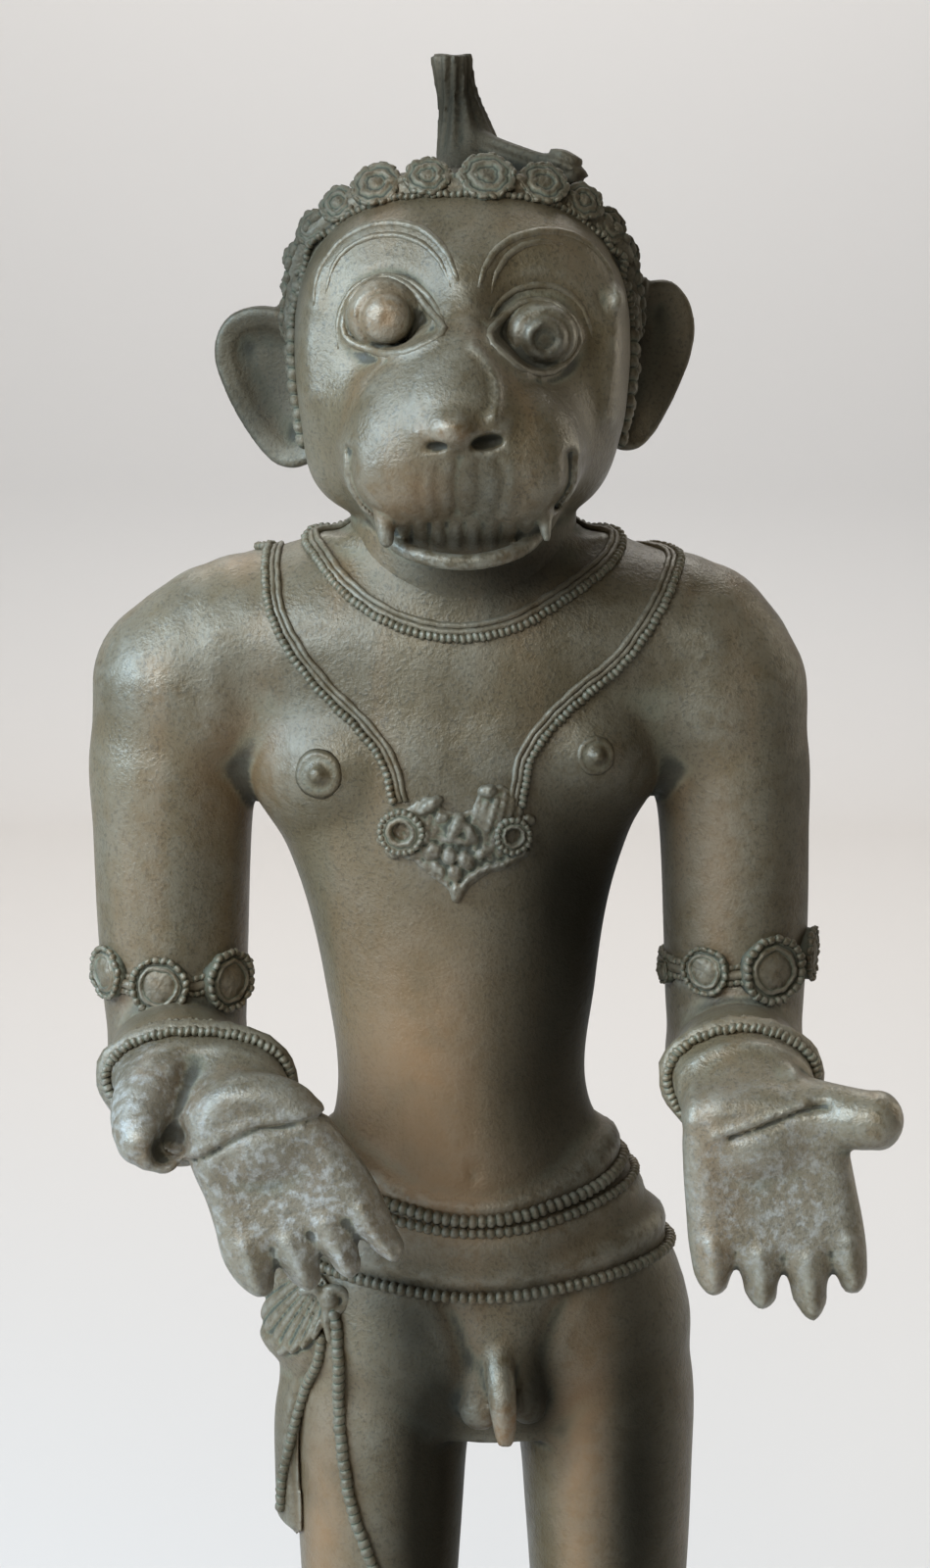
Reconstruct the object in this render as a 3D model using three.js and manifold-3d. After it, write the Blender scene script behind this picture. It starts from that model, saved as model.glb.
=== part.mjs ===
// A South Indian temple bronze of the monkey hero Hanuman, standing on a low lotus base.
// Millimetres, +Z up. The figure faces -Y, and +X is the figure's own left.
// The origin is the centre of the base's underside.
import * as THREE from "three";
import { mergeVertices } from "three/addons/utils/BufferGeometryUtils.js";
import Module from "manifold-3d";

// Driving dimensions, in millimetres
const figureHeight = 600; // soles to the top of the hair tuft
const baseHeight = 45;
const baseRadius = 82; // the plain foot ring, which is the widest part
const baseTopRadius = 74; // the flat that the feet stand on
const footRingHeight = 8;
const baseTopSlab = 7; // thickness of the slab above the petals
const baseWaistRadius = 66; // the groove between petals and slab
const petalCount = 12;
const petalRelief = 6; // how far a petal stands off the bell
const seatGap = 0.3; // between the soles and the base

// Every measure of the figure below is in modules, which are hundredths of its height.
// Heights start at the soles, and x is 0 on the head's plumb line.
const moduleLength = figureHeight / 100;
const stance = { x: -1, y: 1.6 }; // from the plumb line to the base's centre

// Colours
const bronze = new THREE.MeshStandardMaterial({ color: 0x5b564a, roughness: 0.45, metalness: 0.85 });
const baseBronze = new THREE.MeshStandardMaterial({ color: 0x4f4a3f, roughness: 0.5, metalness: 0.85 });

const wasm = await Module();
wasm.setup();

const vec = (x, y, z) => new THREE.Vector3(x, y, z);
const between = (a, b, t) => a.map((value, i) => value + (b[i] - value) * t);
const forward = vec(0, -1, 0);

// A closed three.js geometry as a solid that can be joined and cut.
function solid(geometry) {
  const bare = geometry.index ? geometry.toNonIndexed() : geometry.clone();
  bare.deleteAttribute("normal");
  bare.deleteAttribute("uv");
  const merged = mergeVertices(bare, 1e-5);
  const corners = [];
  for (let i = 0; i < merged.index.count; i += 3) {
    const [a, b, c] = [0, 1, 2].map((k) => merged.index.getX(i + k));
    if (a !== b && b !== c && c !== a) corners.push(a, b, c);
  }
  return new wasm.Manifold(
    new wasm.Mesh({
      numProp: 3,
      vertProperties: merged.attributes.position.array,
      triVerts: new Uint32Array(corners),
    }),
  );
}

// A solid as a three.js geometry, scaled from its own units to millimetres.
function geometryOf(made, scale) {
  const mesh = made.getMesh();
  const geometry = new THREE.BufferGeometry();
  geometry.setAttribute("position", new THREE.BufferAttribute(mesh.vertProperties, 3));
  geometry.setIndex(new THREE.BufferAttribute(mesh.triVerts, 1));
  geometry.scale(scale, scale, scale);
  geometry.computeVertexNormals();
  return geometry;
}

const join = (solids) => solids.reduce((all, next) => all.add(next));

// A limb: a capsule drawn along a spine, oval in section. Each station is [x, y, z, half width, half depth],
// and the half width lies along the way that is given as across.
function limb(stations, { sides = 8, steps = 4, caps = 1, across = vec(1, 0, 0), ends = 1 } = {}) {
  const through = (points) => new THREE.CatmullRomCurve3(points, false, "catmullrom");
  const spine = through(stations.map(([x, y, z]) => vec(x, y, z)));
  const girth = through(stations.map(([, , , wide, deep = wide]) => vec(wide, deep, 0)));
  const capsule = new THREE.CapsuleGeometry(1, 1, caps, sides, steps);
  const places = capsule.attributes.position;
  for (let i = 0; i < places.count; i++) {
    const local = vec().fromBufferAttribute(places, i);
    const t = THREE.MathUtils.clamp(local.y + 0.5, 0, 1);
    const along = spine.getTangent(t);
    const wideWay = across.clone().addScaledVector(along, -across.dot(along)).normalize();
    const deepWay = vec().crossVectors(wideWay, along);
    const size = girth.getPoint(t);
    const pastEnd = (local.y + 0.5 - t) * Math.min(size.x, size.y) * ends;
    const spot = spine
      .getPoint(t)
      .addScaledVector(wideWay, local.x * size.x)
      .addScaledVector(deepWay, local.z * size.y)
      .addScaledVector(along, pastEnd);
    places.setXYZ(i, spot.x, spot.y, spot.z);
  }
  return solid(capsule);
}

// An egg: a sphere with its own three radii, turned about the axes in degrees.
function egg([x, y, z], [rx, ry, rz], { wide = 12, tall = 8, turn = [0, 0, 0] } = {}) {
  const sphere = new THREE.SphereGeometry(1, wide, tall).rotateX(Math.PI / 2).scale(rx, ry, rz);
  const [tx, ty, tz] = turn.map(THREE.MathUtils.degToRad);
  sphere.rotateX(tx).rotateY(ty).rotateZ(tz).translate(x, y, z);
  return solid(sphere);
}

// A round cord along a list of points.
function cord(points, radius, { sides = 4, steps = 16 } = {}) {
  const section = new THREE.Shape();
  for (let i = 0; i < sides; i++) {
    const angle = (2 * Math.PI * i) / sides;
    const corner = [radius * Math.cos(angle), radius * Math.sin(angle)];
    if (i === 0) section.moveTo(...corner);
    else section.lineTo(...corner);
  }
  section.closePath();
  const extrudePath = new THREE.CatmullRomCurve3(points);
  return solid(new THREE.ExtrudeGeometry(section, { steps, extrudePath, bevelEnabled: false }));
}

// A cord closed into a loop round the body: a torus whose circle is moved onto the loop.
function loop(points, radius, { sides = 4, steps = 16 } = {}) {
  const route = new THREE.CatmullRomCurve3(points, true);
  const torus = new THREE.TorusGeometry(1, radius, sides, steps);
  const places = torus.attributes.position;
  for (let i = 0; i < places.count; i++) {
    const local = vec().fromBufferAttribute(places, i);
    const t = (Math.atan2(local.y, local.x) / (2 * Math.PI) + 1) % 1;
    const outward = route.getTangent(t).cross(vec(0, 0, 1)).normalize();
    const spot = route.getPoint(t).addScaledVector(outward, Math.hypot(local.x, local.y) - 1);
    places.setXYZ(i, spot.x, spot.y, spot.z + local.z);
  }
  return solid(torus);
}

// A round plaque that faces a direction, such as a rosette.
function plaque(centre, facing, radius, thickness, sides = 10) {
  const disc = new THREE.CylinderGeometry(radius * 0.8, radius, thickness, sides);
  disc.applyQuaternion(new THREE.Quaternion().setFromUnitVectors(vec(0, 1, 0), facing.clone().normalize()));
  disc.translate(centre.x, centre.y, centre.z);
  return solid(disc);
}

// Finds the point on the skin of a solid where a line from a guide point to an inner point meets it,
// so that ornaments lie on the body whatever its shape.
function skinOf(made) {
  const mesh = new THREE.Mesh(geometryOf(made, 1), new THREE.MeshBasicMaterial({ side: THREE.DoubleSide }));
  const startOutside = 40;
  return (guide, inner) => {
    const inward = inner.clone().sub(guide).normalize();
    const from = guide.clone().addScaledVector(inward, -startOutside);
    return new THREE.Raycaster(from, inward).intersectObject(mesh)[0].point;
  };
}

// A ring of guide points round a level axis point: front, side and back heights, in modules.
function girdle(centre, [front, side, back], reach, count) {
  return Array.from({ length: count }, (_, i) => {
    const angle = (2 * Math.PI * i) / count;
    const ahead = -Math.cos(angle);
    const end = ahead < 0 ? front : back;
    const height = side + (end - side) * ahead * ahead;
    return vec(centre.x + reach * Math.sin(angle), centre.y + reach * ahead, height);
  });
}

// Trunk and neck, from the crotch up
const trunk = limb(
  [
    [1.3, 0.3, 43.4, 5.4, 4], // crotch
    [0.8, 0.4, 46.8, 8.7, 5.7], // seat
    [0.7, 0.3, 49.8, 8.5, 5.6], // hips
    [0.5, 0.1, 53, 7.1, 5.1], // belly
    [0.2, -0.2, 57.4, 5.4, 4.3], // waist
    [0, -0.2, 62.3, 5.7, 4.6],
    [0, -0.2, 66.6, 6.7, 5], // ribs
    [-0.2, -0.1, 70.5, 8.1, 5.5], // breast
    [-0.3, 0.1, 74.3, 9.6, 5.4],
    [-0.1, 0.3, 77.8, 9.4, 4.4], // collar bones
    [0.1, 0.4, 80.4, 5.6, 3.4], // root of the neck
  ],
  { sides: 14, steps: 12, ends: 0.3 },
);
const neck = limb([[0, 0.3, 75, 3.4], [0, -0.2, 79.4, 4.5], [0.1, -0.7, 84, 4.6]], { sides: 10, steps: 3 });
const buttocks = [-2.6, 4.8].map((x) => egg([x, 3, 46.4], [4.3, 4.2, 4.4], { wide: 9, tall: 5 }));

// A leg: lean is how far the knee stands to the figure's left of the hip and the ankle
function leg(x, lean) {
  const stations = [
    [x, 0.3, 49, 3, 3.6],
    [x, 0.2, 45.4, 3.75, 4.2], // groin
    [x + lean, 0, 41, 3.6, 4],
    [x + lean * 1.5, -0.1, 36.5, 3.35, 3.7], // middle of the thigh
    [x + lean * 1.4, 0, 30, 2.85, 3.1],
    [x + lean, -0.2, 23.5, 2.35, 2.6], // knee
    [x + lean * 0.5, 0.7, 17, 2.35, 2.75], // calf
    [x, 0.9, 10, 1.85, 2.05],
    [x - lean, 0.9, 4, 1.7, 1.9], // ankle
    [x - lean, 0.9, 2, 1.9, 2.1],
  ];
  return limb(stations, { sides: 10, steps: 9 });
}
const rightLegX = -3.4;
const leftLegX = 6;
const legs = [leg(rightLegX, -0.1), leg(leftLegX, 0.15)];

// A foot: a low wedge with a heel, and five toes side by side. side is 1 for the figure's left.
function foot(x, side) {
  const sole = limb(
    [
      [x, 2.7, 1.5, 1.7, 1.5],
      [x, 0.5, 1.6, 1.75, 1.6],
      [x + side * 0.1, -2.8, 1.15, 2.15, 1.15],
      [x + side * 0.15, -5.4, 0.8, 2.4, 0.8],
    ],
    { sides: 8, steps: 3, caps: 2, ends: 0.6 },
  );
  const toes = [0, 1, 2, 3, 4].map((i) => {
    const across = x - side * (1.75 - i * 0.85);
    const radius = i === 0 ? 0.68 : 0.5 - i * 0.02;
    const reach = -7.6 + i * 0.28;
    return limb([[across, -5, radius, radius], [across, reach, radius, radius]], { sides: 4, steps: 1 });
  });
  return join([sole, ...toes]);
}
const feet = [foot(rightLegX - 0.2, -1), foot(leftLegX + 0.1, 1)];

// Arms: a straight upper arm, and a forearm that comes forward and a little up to the wrist
const rightArm = {
  shoulder: [-11.7, 0.2, 73],
  elbow: [-11.9, 0.6, 58.9],
  wrist: [-10.4, -9.9, 60.3],
  radii: [3.55, 3.1, 2.85, 2.7],
};
const leftArm = {
  shoulder: [10.9, 0.2, 73],
  elbow: [11.4, 0.6, 58.9],
  wrist: [10.8, -9.9, 60.3],
  radii: [3.45, 3, 2.75, 2.65],
};

function arm({ shoulder, elbow, wrist, radii }) {
  const upper = limb(
    [
      [...shoulder, radii[0]],
      [...between(shoulder, elbow, 0.33), radii[1]],
      [...between(shoulder, elbow, 0.7), radii[2]],
      [...elbow, radii[3]],
    ],
    { sides: 10, steps: 4, caps: 2 },
  );
  const fore = limb(
    [
      [...between(elbow, wrist, 0.1), 2],
      [...between(elbow, wrist, 0.4), 2.75, 2.6],
      [...wrist, 2.6, 2.2],
    ],
    { sides: 10, steps: 2 },
  );
  return upper.add(fore);
}
const shoulderSlopes = [
  [[-11.6, 0.2, 74.2, 3.7, 3.5], [-8, 0.3, 76.9, 3.1], [-3.4, 0.2, 79.9, 2.7]],
  [[10.8, 0.2, 74.2, 3.6, 3.5], [7.8, 0.3, 76.9, 3.1], [3.6, 0.2, 79.9, 2.7]],
].map((stations) => limb(stations, { sides: 10, steps: 4, caps: 3 }));

// Open hands that hang from the wrists with the palms to the front and the thumbs outward.
// Rows of knuckles and tips are [x, y, z].
function hand({ wrist, heel, palm, knuckles, tips, thumb }, breadth, radius) {
  const body = limb(
    [
      [...wrist, 2.5, 1.9],
      [...heel, breadth * 0.88, 1.5],
      [...palm, breadth, 1.1],
    ],
    { sides: 10, steps: 3, caps: 2, ends: 0.8 },
  );
  const fingers = knuckles.map((from, i) => {
    const middle = between(from, tips[i], 0.5);
    middle[1] += 0.35;
    const stations = [
      [...from, radius],
      [...middle, radius * 0.96],
      [...tips[i], radius * 0.72],
    ];
    return limb(stations, { sides: 5, steps: 2 });
  });
  const thumbLimb = limb(thumb, { sides: 6, steps: 2 });
  return join([body, ...fingers, thumbLimb]);
}
const row = (start, end, count, lift) =>
  Array.from({ length: count }, (_, i) => {
    const spot = between(start, end, i / (count - 1));
    spot[2] -= lift[i];
    return spot;
  });
const leftHand = hand(
  {
    wrist: [10.8, -10.2, 60.4],
    heel: [11.1, -12, 58.6],
    palm: [11.9, -12.8, 55.6],
    knuckles: row([9.3, -12.9, 55.2], [14.5, -12.9, 55], 4, [0, 0, 0, 0]),
    tips: row([9.9, -13.6, 53.7], [14.7, -13.6, 53.7], 4, [0, 0.55, 0.95, 0.1]),
    thumb: [
      [12.6, -12, 59.6, 1.35],
      [14.4, -12.8, 59.9, 1.15],
      [15.9, -14.2, 59.8, 0.95],
    ],
  },
  3.4,
  0.95,
);
const rightHand = hand(
  {
    wrist: [-10.3, -10.2, 60.3],
    heel: [-9, -11.9, 58.8],
    palm: [-6.9, -12.8, 56.6],
    knuckles: row([-8.3, -12.9, 55.6], [-4.6, -12.9, 57.1], 4, [0, 0, 0, 0]),
    tips: row([-7.2, -13.8, 53.8], [-3, -13.8, 54.9], 4, [0, 0, 0, 0]),
    thumb: [
      [-11.4, -11.6, 60, 1.7],
      [-12.3, -13, 59.6, 1.5],
      [-11.9, -14.4, 58.9, 1.2],
    ],
  },
  2.95,
  0.9,
);

// Head: skull, cheeks, muzzle and jaw
const skull = egg([0, 0.2, 89.9], [6.85, 6.9, 6.4], { wide: 14, tall: 9 });
const cheeks = egg([0.05, -1.3, 85.3], [6.55, 5.6, 5.1], { wide: 12, tall: 7 });
const muzzle = egg([0.1, -6.6, 85.2], [4.3, 4.7, 3.3], { wide: 10, tall: 6 });
const jaw = egg([0.1, -5.6, 82.2], [3.5, 4.3, 1.9], { wide: 9, tall: 4 });
const nose = limb([[0, -6.5, 89.8, 0.8, 0.7], [0, -9.4, 88, 1.1, 0.9], [-0.1, -10.9, 86.2, 1.4, 0.9]], {
  sides: 6,
  steps: 2,
});
const nostrils = [-1.1, 1].map((x) => egg([x, -10.9, 85.8], [0.8, 0.7, 0.55], { wide: 6, tall: 4 }));
const fangs = [-2.9, 3.1].map((x) => {
  return limb([[x, -7.6, 83.3, 0.45], [x, -7.9, 81.3, 0.2]], { sides: 5, steps: 1 });
});

// An eye: a bulging ball between two thick lids
function eye(x, z, radius) {
  const ball = egg([x, -5.4, z], [radius, 1.3, radius * 0.94], { wide: 8, tall: 5 });
  const lids = new THREE.CylinderGeometry(radius + 0.5, radius + 0.6, 1, 9).scale(1.1, 1, 0.88);
  lids.translate(x, 5.45, -z).rotateX(Math.PI);
  return ball.add(solid(lids));
}
const eyes = [eye(-3, 89.7, 1.35), eye(3.1, 89.3, 1.3)];

// A round ear with a rim and a hollow
function ear(x, z, side, tilt) {
  const turn = [0, side * tilt, side * 28];
  const shell = egg([x, 1.2, z], [2.1, 0.75, 3.45], { wide: 8, tall: 6, turn });
  const hollow = egg([x + side * 0.25, 0.45, z + 0.2], [1.5, 0.7, 2.7], { wide: 7, tall: 4, turn });
  const root = limb([[x - side * 2.8, 0.9, z - 0.4, 0.9, 2.9], [x - side * 1.1, 1.3, z - 0.3, 0.6, 2.4]], {
    sides: 6,
    steps: 1,
    across: vec(0, 1, 0),
  });
  return shell.subtract(hollow).add(root);
}
const ears = [ear(-7.9, 87.1, -1, 16), ear(7.5, 87.9, 1, 14)];

const headCore = join([skull, cheeks, muzzle, jaw]);
const onHead = skinOf(headCore);
const headMiddle = vec(0, -1, 88.5);

// Arched brows lie on the forehead
function brow(guides) {
  const points = guides.map(([x, z]) => onHead(vec(x, -20, z), vec(x, 0, z)));
  return cord(points, 0.3, { sides: 4, steps: 6 });
}
const brows = [
  brow([[-5.1, 89.9], [-4.8, 91.4], [-3, 92.7], [-1.3, 92], [-0.6, 90.4]]),
  brow([[0.9, 90.6], [1.5, 91.9], [3.1, 92.4], [4.8, 91.1], [5.2, 89.7]]),
];

// The hair band runs from ear to ear and swells at each of its rosettes
const rosetteCount = 9;
const band = limb(
  Array.from({ length: rosetteCount * 2 + 1 }, (_, i) => {
    const angle = THREE.MathUtils.degToRad(170 * (i / (rosetteCount * 2) - 0.5));
    const rise = Math.cos(angle) ** 0.8;
    const guide = vec(7.6 * Math.sin(angle), -1.4 - 3.6 * Math.cos(angle), 90.4 + 5.6 * rise);
    const point = onHead(guide, headMiddle);
    return [...point.toArray(), i % 2 ? 1 : 0.6, 0.8];
  }),
  { sides: 4, steps: rosetteCount * 2, across: vec(0, -0.6, 0.8) },
);

// The broken hair tuft on the crown, and the lock that falls from it to the figure's left
const tuft = limb(
  [
    [0.2, 1.6, 94.6, 1.8],
    [0.1, 1.8, 96.8, 1],
    [-0.3, 2, 98.4, 0.7],
    [-0.45, 2, 99.9, 0.9, 0.7],
  ],
  { sides: 8, steps: 5, ends: 0.15 },
);
const lock = limb([[0.3, 1.7, 97.2, 0.7], [1.9, 1, 96.7, 0.75], [4.3, 0.3, 96, 0.5]], { sides: 6, steps: 3 });

// The bare body, before its ornaments
const bareBody = join([trunk, neck, ...buttocks, ...legs, arm(rightArm), arm(leftArm), ...shoulderSlopes]);
const onBody = skinOf(bareBody);

// Belts low on the hips, both higher at the sides and the back
function belt(heights, reach, radius) {
  const centre = vec(0.6, 0.1, 0);
  const points = girdle(centre, heights, reach, 16).map((guide) => {
    return onBody(guide, vec(centre.x, centre.y, guide.z));
  });
  return loop(points, radius, { sides: 4, steps: 14 });
}
const belts = [belt([53.7, 55.6, 56.4], 12, 0.62), belt([50.6, 52.1, 52.8], 14, 0.55)];

// The short necklace lies at the root of the neck, the long one crosses the shoulders
const collar = loop(
  girdle(vec(0, -0.4, 0), [77.9, 81.2, 81.8], 9, 12).map((guide) => {
    return onBody(guide, vec(0, -0.4, guide.z - 2.4));
  }),
  0.36,
  { sides: 3, steps: 12 },
);
const chestMiddle = vec(0, 0.4, 72);
const strandGuides = (side) => [
  [side * 1.2, 8, 70.5],
  [side * 5, 7, 74.5],
  [side * 7.6, 3.6, 79.6],
  [side * 7.9, -0.6, 81.4],
  [side * 7.3, -5, 78.6],
  [side * 5.4, -7, 75.2],
  [side * 3.4, -7, 72.8],
  [side * 2.6, -7, 70.2],
];
const strands = [-1, 1].map((side) =>
  cord(strandGuides(side).map((guide) => onBody(vec(...guide), chestMiddle)), 0.34, { sides: 4, steps: 10 }),
);

// The clasp: two rosettes, and a pointed pendant between and below them
const claspSpots = [[-2.2, 69.7, 1.05], [2, 69.6, 1]];
const clasp = claspSpots.map(([x, z, radius]) => {
  return plaque(onBody(vec(x, -12, z), vec(x, 0, z)), forward, radius, 1, 7);
});
const pendantTop = onBody(vec(-0.1, -12, 69.2), vec(-0.1, 0, 69.2));
const pendantTip = onBody(vec(-0.2, -12, 66.8), vec(-0.2, 0, 66.8));
const pendant = limb(
  [
    [pendantTop.x, pendantTop.y, pendantTop.z, 1.5, 0.5],
    [(pendantTop.x + pendantTip.x) / 2, pendantTop.y + 0.1, 68.1, 1.05, 0.5],
    [pendantTip.x, pendantTip.y, pendantTip.z, 0.25, 0.3],
  ],
  { sides: 6, steps: 2 },
);

const nipples = [[-5.6, 71.9], [5.2, 72.5]].map(([x, z]) => {
  return egg(onBody(vec(x, -12, z), vec(x, 0, z)).toArray(), [0.45, 0.55, 0.45], { wide: 5, tall: 4 });
});

// Armlets above the elbows: a ring with three rosettes turned to the front and outside
function armlet({ shoulder, elbow, radii }, height, rosettes) {
  const t = (shoulder[2] - height) / (shoulder[2] - elbow[2]);
  const [x, y] = between(shoulder, elbow, t);
  const ring = new THREE.CylinderGeometry(radii[2] + 0.35, radii[2] + 0.35, 0.6, 10).rotateX(Math.PI / 2);
  ring.translate(x, y, height);
  const discs = rosettes.map(([degrees, radius]) => {
    const angle = THREE.MathUtils.degToRad(degrees);
    const outward = vec(Math.sin(angle), -Math.cos(angle), 0);
    const centre = vec(x, y, height).addScaledVector(outward, radii[2] + 0.15);
    return plaque(centre, outward, radius, 1.2, 7);
  });
  return join([solid(ring), ...discs]);
}
const armlets = [
  armlet(rightArm, 62.3, [[-76, 1.3], [-19, 1.5], [38, 1.5]]),
  armlet(leftArm, 62.8, [[-26, 1.3], [27, 1.75], [82, 1.4]]),
];

// A bracelet round each wrist, square to the forearm
function bracelet({ elbow, wrist }, wide, tall) {
  const along = vec(...wrist).sub(vec(...elbow)).normalize();
  const ring = new THREE.CylinderGeometry(1, 1, 0.9, 10).scale(wide, 1, tall);
  ring.applyQuaternion(new THREE.Quaternion().setFromUnitVectors(vec(0, 1, 0), along));
  ring.translate(...wrist);
  return solid(ring);
}
const bracelets = [bracelet(rightArm, 3.4, 2.85), bracelet(leftArm, 3.15, 2.85)];

// The sash tied on the figure's right hip: a knot, a pleated fan and two hanging ends
const knotAt = onBody(vec(-9, -6, 49.4), vec(-2.5, 0.4, 49.4));
const knot = egg(knotAt.toArray(), [1.1, 1.1, 1], { wide: 7, tall: 4 });
const fanFoot = onBody(vec(-14, -2.4, 46.4), vec(-3, 0.4, 46.4));
const fan = limb([[knotAt.x, knotAt.y, knotAt.z, 0.6], [...fanFoot.toArray(), 1.7, 0.7]], {
  sides: 7,
  steps: 1,
  across: vec(0, -1, 0),
  ends: 0.3,
});
function hangingEnd(guides, wide, thick, legMiddle, across) {
  const points = guides.map((guide) => onBody(vec(...guide), vec(...legMiddle, guide[2])));
  return limb(points.map((p) => [p.x, p.y, p.z, wide, thick]), { sides: 6, steps: 5, across, ends: 0.4 });
}
const sideEnd = hangingEnd(
  [[-14, -1.6, 48.6], [-14, -1.2, 45], [-14, -0.8, 41.5], [-14, -0.6, 38.9]],
  1.3,
  0.55,
  [-3, 0],
  vec(0, 1, 0),
);
const frontEnd = hangingEnd(
  [[-9, -9, 49.2], [-8.2, -9, 45.2], [-7.4, -9, 41], [-6, -9, 37.6], [-5.2, -9, 33.6], [-5, -9, 30]],
  0.42,
  0.42,
  [-3.4, 0],
  vec(1, 0, 0),
);

const loins = [
  limb([[1.6, -4.6, 48.2, 0.9], [1.75, -5.4, 46.4, 0.8], [1.85, -5.7, 45.1, 0.6]], { sides: 6, steps: 2 }),
  egg([0.6, -4.2, 46], [0.95, 1.1, 1.5], { wide: 7, tall: 4 }),
  egg([2.9, -4.1, 46.1], [0.95, 1.1, 1.4], { wide: 7, tall: 4 }),
];

// The tail rises from the seat and lies along the back in a slow curve
const tailGuides = [
  [1, 50.6],
  [1.9, 54],
  [1.7, 57.6],
  [0.2, 61],
  [-1, 64.4],
  [-0.3, 67.4],
  [1.6, 68.2],
  [2.6, 66.4],
];
const tailPoints = tailGuides.map(([x, z]) => onBody(vec(x, 20, z), vec(x, 0, z)));
const tail = limb(
  [
    [1, 4.6, 48.6, 0.95],
    ...tailPoints.map((p, i) => [p.x, p.y + 0.15, p.z, 0.85 - i * 0.045]),
  ],
  { sides: 5, steps: 12 },
);

// Everything above is one casting, and its soles are cut flat
const uncut = join([
  bareBody, ...feet, leftHand, rightHand, headCore, nose, ...nostrils, ...fangs, ...eyes, ...ears, ...brows,
  band, tuft, lock, ...belts, collar, ...strands, ...clasp, pendant, ...nipples, ...armlets,
  ...bracelets, knot, fan, sideEnd, frontEnd, ...loins, tail,
]);
const belowSoles = solid(new THREE.BoxGeometry(60, 60, 10).translate(0, 0, -5));
const figureSolid = uncut.subtract(belowSoles);

const figure = new THREE.Mesh(geometryOf(figureSolid, moduleLength), bronze);
figure.name = "hanuman_figure";
figure.position.set(stance.x * moduleLength, stance.y * moduleLength, baseHeight + seatGap);

// The lotus base, in millimetres: a lathe whose bell swells into petals that point down
const bellTop = baseHeight - baseTopSlab;
const bellFoot = baseRadius - petalRelief;
const petalRows = 3;
const facetsPerPetal = 4;
const bell = Array.from({ length: petalRows + 1 }, (_, i) => {
  const rise = i / petalRows;
  const radius = bellFoot + (baseWaistRadius - bellFoot) * rise ** 1.6;
  return [radius, footRingHeight + (bellTop - footRingHeight) * rise];
});
const profile = [
  [0, 0],
  [baseRadius, 0],
  [baseRadius, footRingHeight],
  ...bell,
  [baseTopRadius, bellTop],
  [baseTopRadius, baseHeight],
  [0, baseHeight],
];
const lotus = new THREE.LatheGeometry(
  profile.map(([r, z]) => new THREE.Vector2(r, z)),
  petalCount * facetsPerPetal,
);
lotus.rotateX(Math.PI / 2);
const spots = lotus.attributes.position;
for (let i = 0; i < spots.count; i++) {
  const rise = (spots.getZ(i) - footRingHeight) / (bellTop - footRingHeight);
  const radius = Math.hypot(spots.getX(i), spots.getY(i));
  if (rise < 0.01 || rise > 0.99) continue;
  const acrossPetal = Math.abs(Math.sin((petalCount / 2) * Math.atan2(spots.getY(i), spots.getX(i))));
  const swell = 1 + (petalRelief * acrossPetal * Math.sin(Math.PI * rise)) / radius;
  spots.setXY(i, spots.getX(i) * swell, spots.getY(i) * swell);
}
const base = new THREE.Mesh(geometryOf(solid(lotus), 1), baseBronze);
base.name = "lotus_base";

const statue = new THREE.Group();
statue.add(figure, base);

export default statue;
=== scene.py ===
"""A temple bronze of the monkey hero on a low lotus base, with its bronze finishes and a studio."""
import copy
import math

import bpy
import numpy as np
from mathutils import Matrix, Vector


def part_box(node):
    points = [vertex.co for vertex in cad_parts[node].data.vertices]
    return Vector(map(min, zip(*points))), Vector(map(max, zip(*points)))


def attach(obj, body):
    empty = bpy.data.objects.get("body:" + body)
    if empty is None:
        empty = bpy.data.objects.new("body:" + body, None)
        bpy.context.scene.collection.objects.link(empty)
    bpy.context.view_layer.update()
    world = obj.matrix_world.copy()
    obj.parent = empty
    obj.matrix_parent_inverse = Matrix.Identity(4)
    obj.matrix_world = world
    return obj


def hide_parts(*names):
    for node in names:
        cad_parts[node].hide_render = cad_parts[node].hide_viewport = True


bl_info = {
    "name": "Monkey hero temple bronze",
    "version": (1, 0, 0),
    "blender": (4, 5, 0),
    "location": "View3D > Sidebar > Bronze",
    "description": "Models the cast figure, its ornaments and its lotus base, and sets the studio",
    "category": "Object",
}

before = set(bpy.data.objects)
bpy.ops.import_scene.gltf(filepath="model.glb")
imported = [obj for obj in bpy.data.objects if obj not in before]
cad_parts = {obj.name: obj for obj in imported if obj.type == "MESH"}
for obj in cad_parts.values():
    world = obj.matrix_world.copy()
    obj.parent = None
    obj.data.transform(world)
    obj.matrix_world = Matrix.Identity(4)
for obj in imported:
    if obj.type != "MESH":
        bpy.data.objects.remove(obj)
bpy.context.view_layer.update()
_, BASE_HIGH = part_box("lotus_base")
BASE_RADIUS = float(BASE_HIGH[0])
BASE_TOP = float(BASE_HIGH[2])

# The figure is modelled in millimetres about the plumb line of its head, with heights from the floor.
PLUMB = np.array([-6.0, 9.6, 0.0])
SOLE = BASE_TOP * 1000 + 0.3
# A hundredth of the figure's height, from its soles to the top of its hair
HUNDREDTH = 6.0
# The camera's place and the place that it is aimed at
EYE = np.array([0.6, -770.4, 590.3])
AIM = np.array([0.6, 0.0, 468.3])
# The distance held by cells that are far from any surface
FAR = 16.0
# The widest fillet where a function gives the fillet's width by place
WIDEST_BLEND = 14
# How near a line has to pass for it to count as grazing a surface
GRAZE = 5.0
# How far before and behind its guide point a line of sight is searched, and places looked at on a line
SIGHT = 60.0
LINE_STEPS = 500
# Points drawn along a curve for each one that is kept, and the spacing of points on a plain cord
CURVE_DETAIL = 16
PLAIN_SPACING = 2.2
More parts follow.
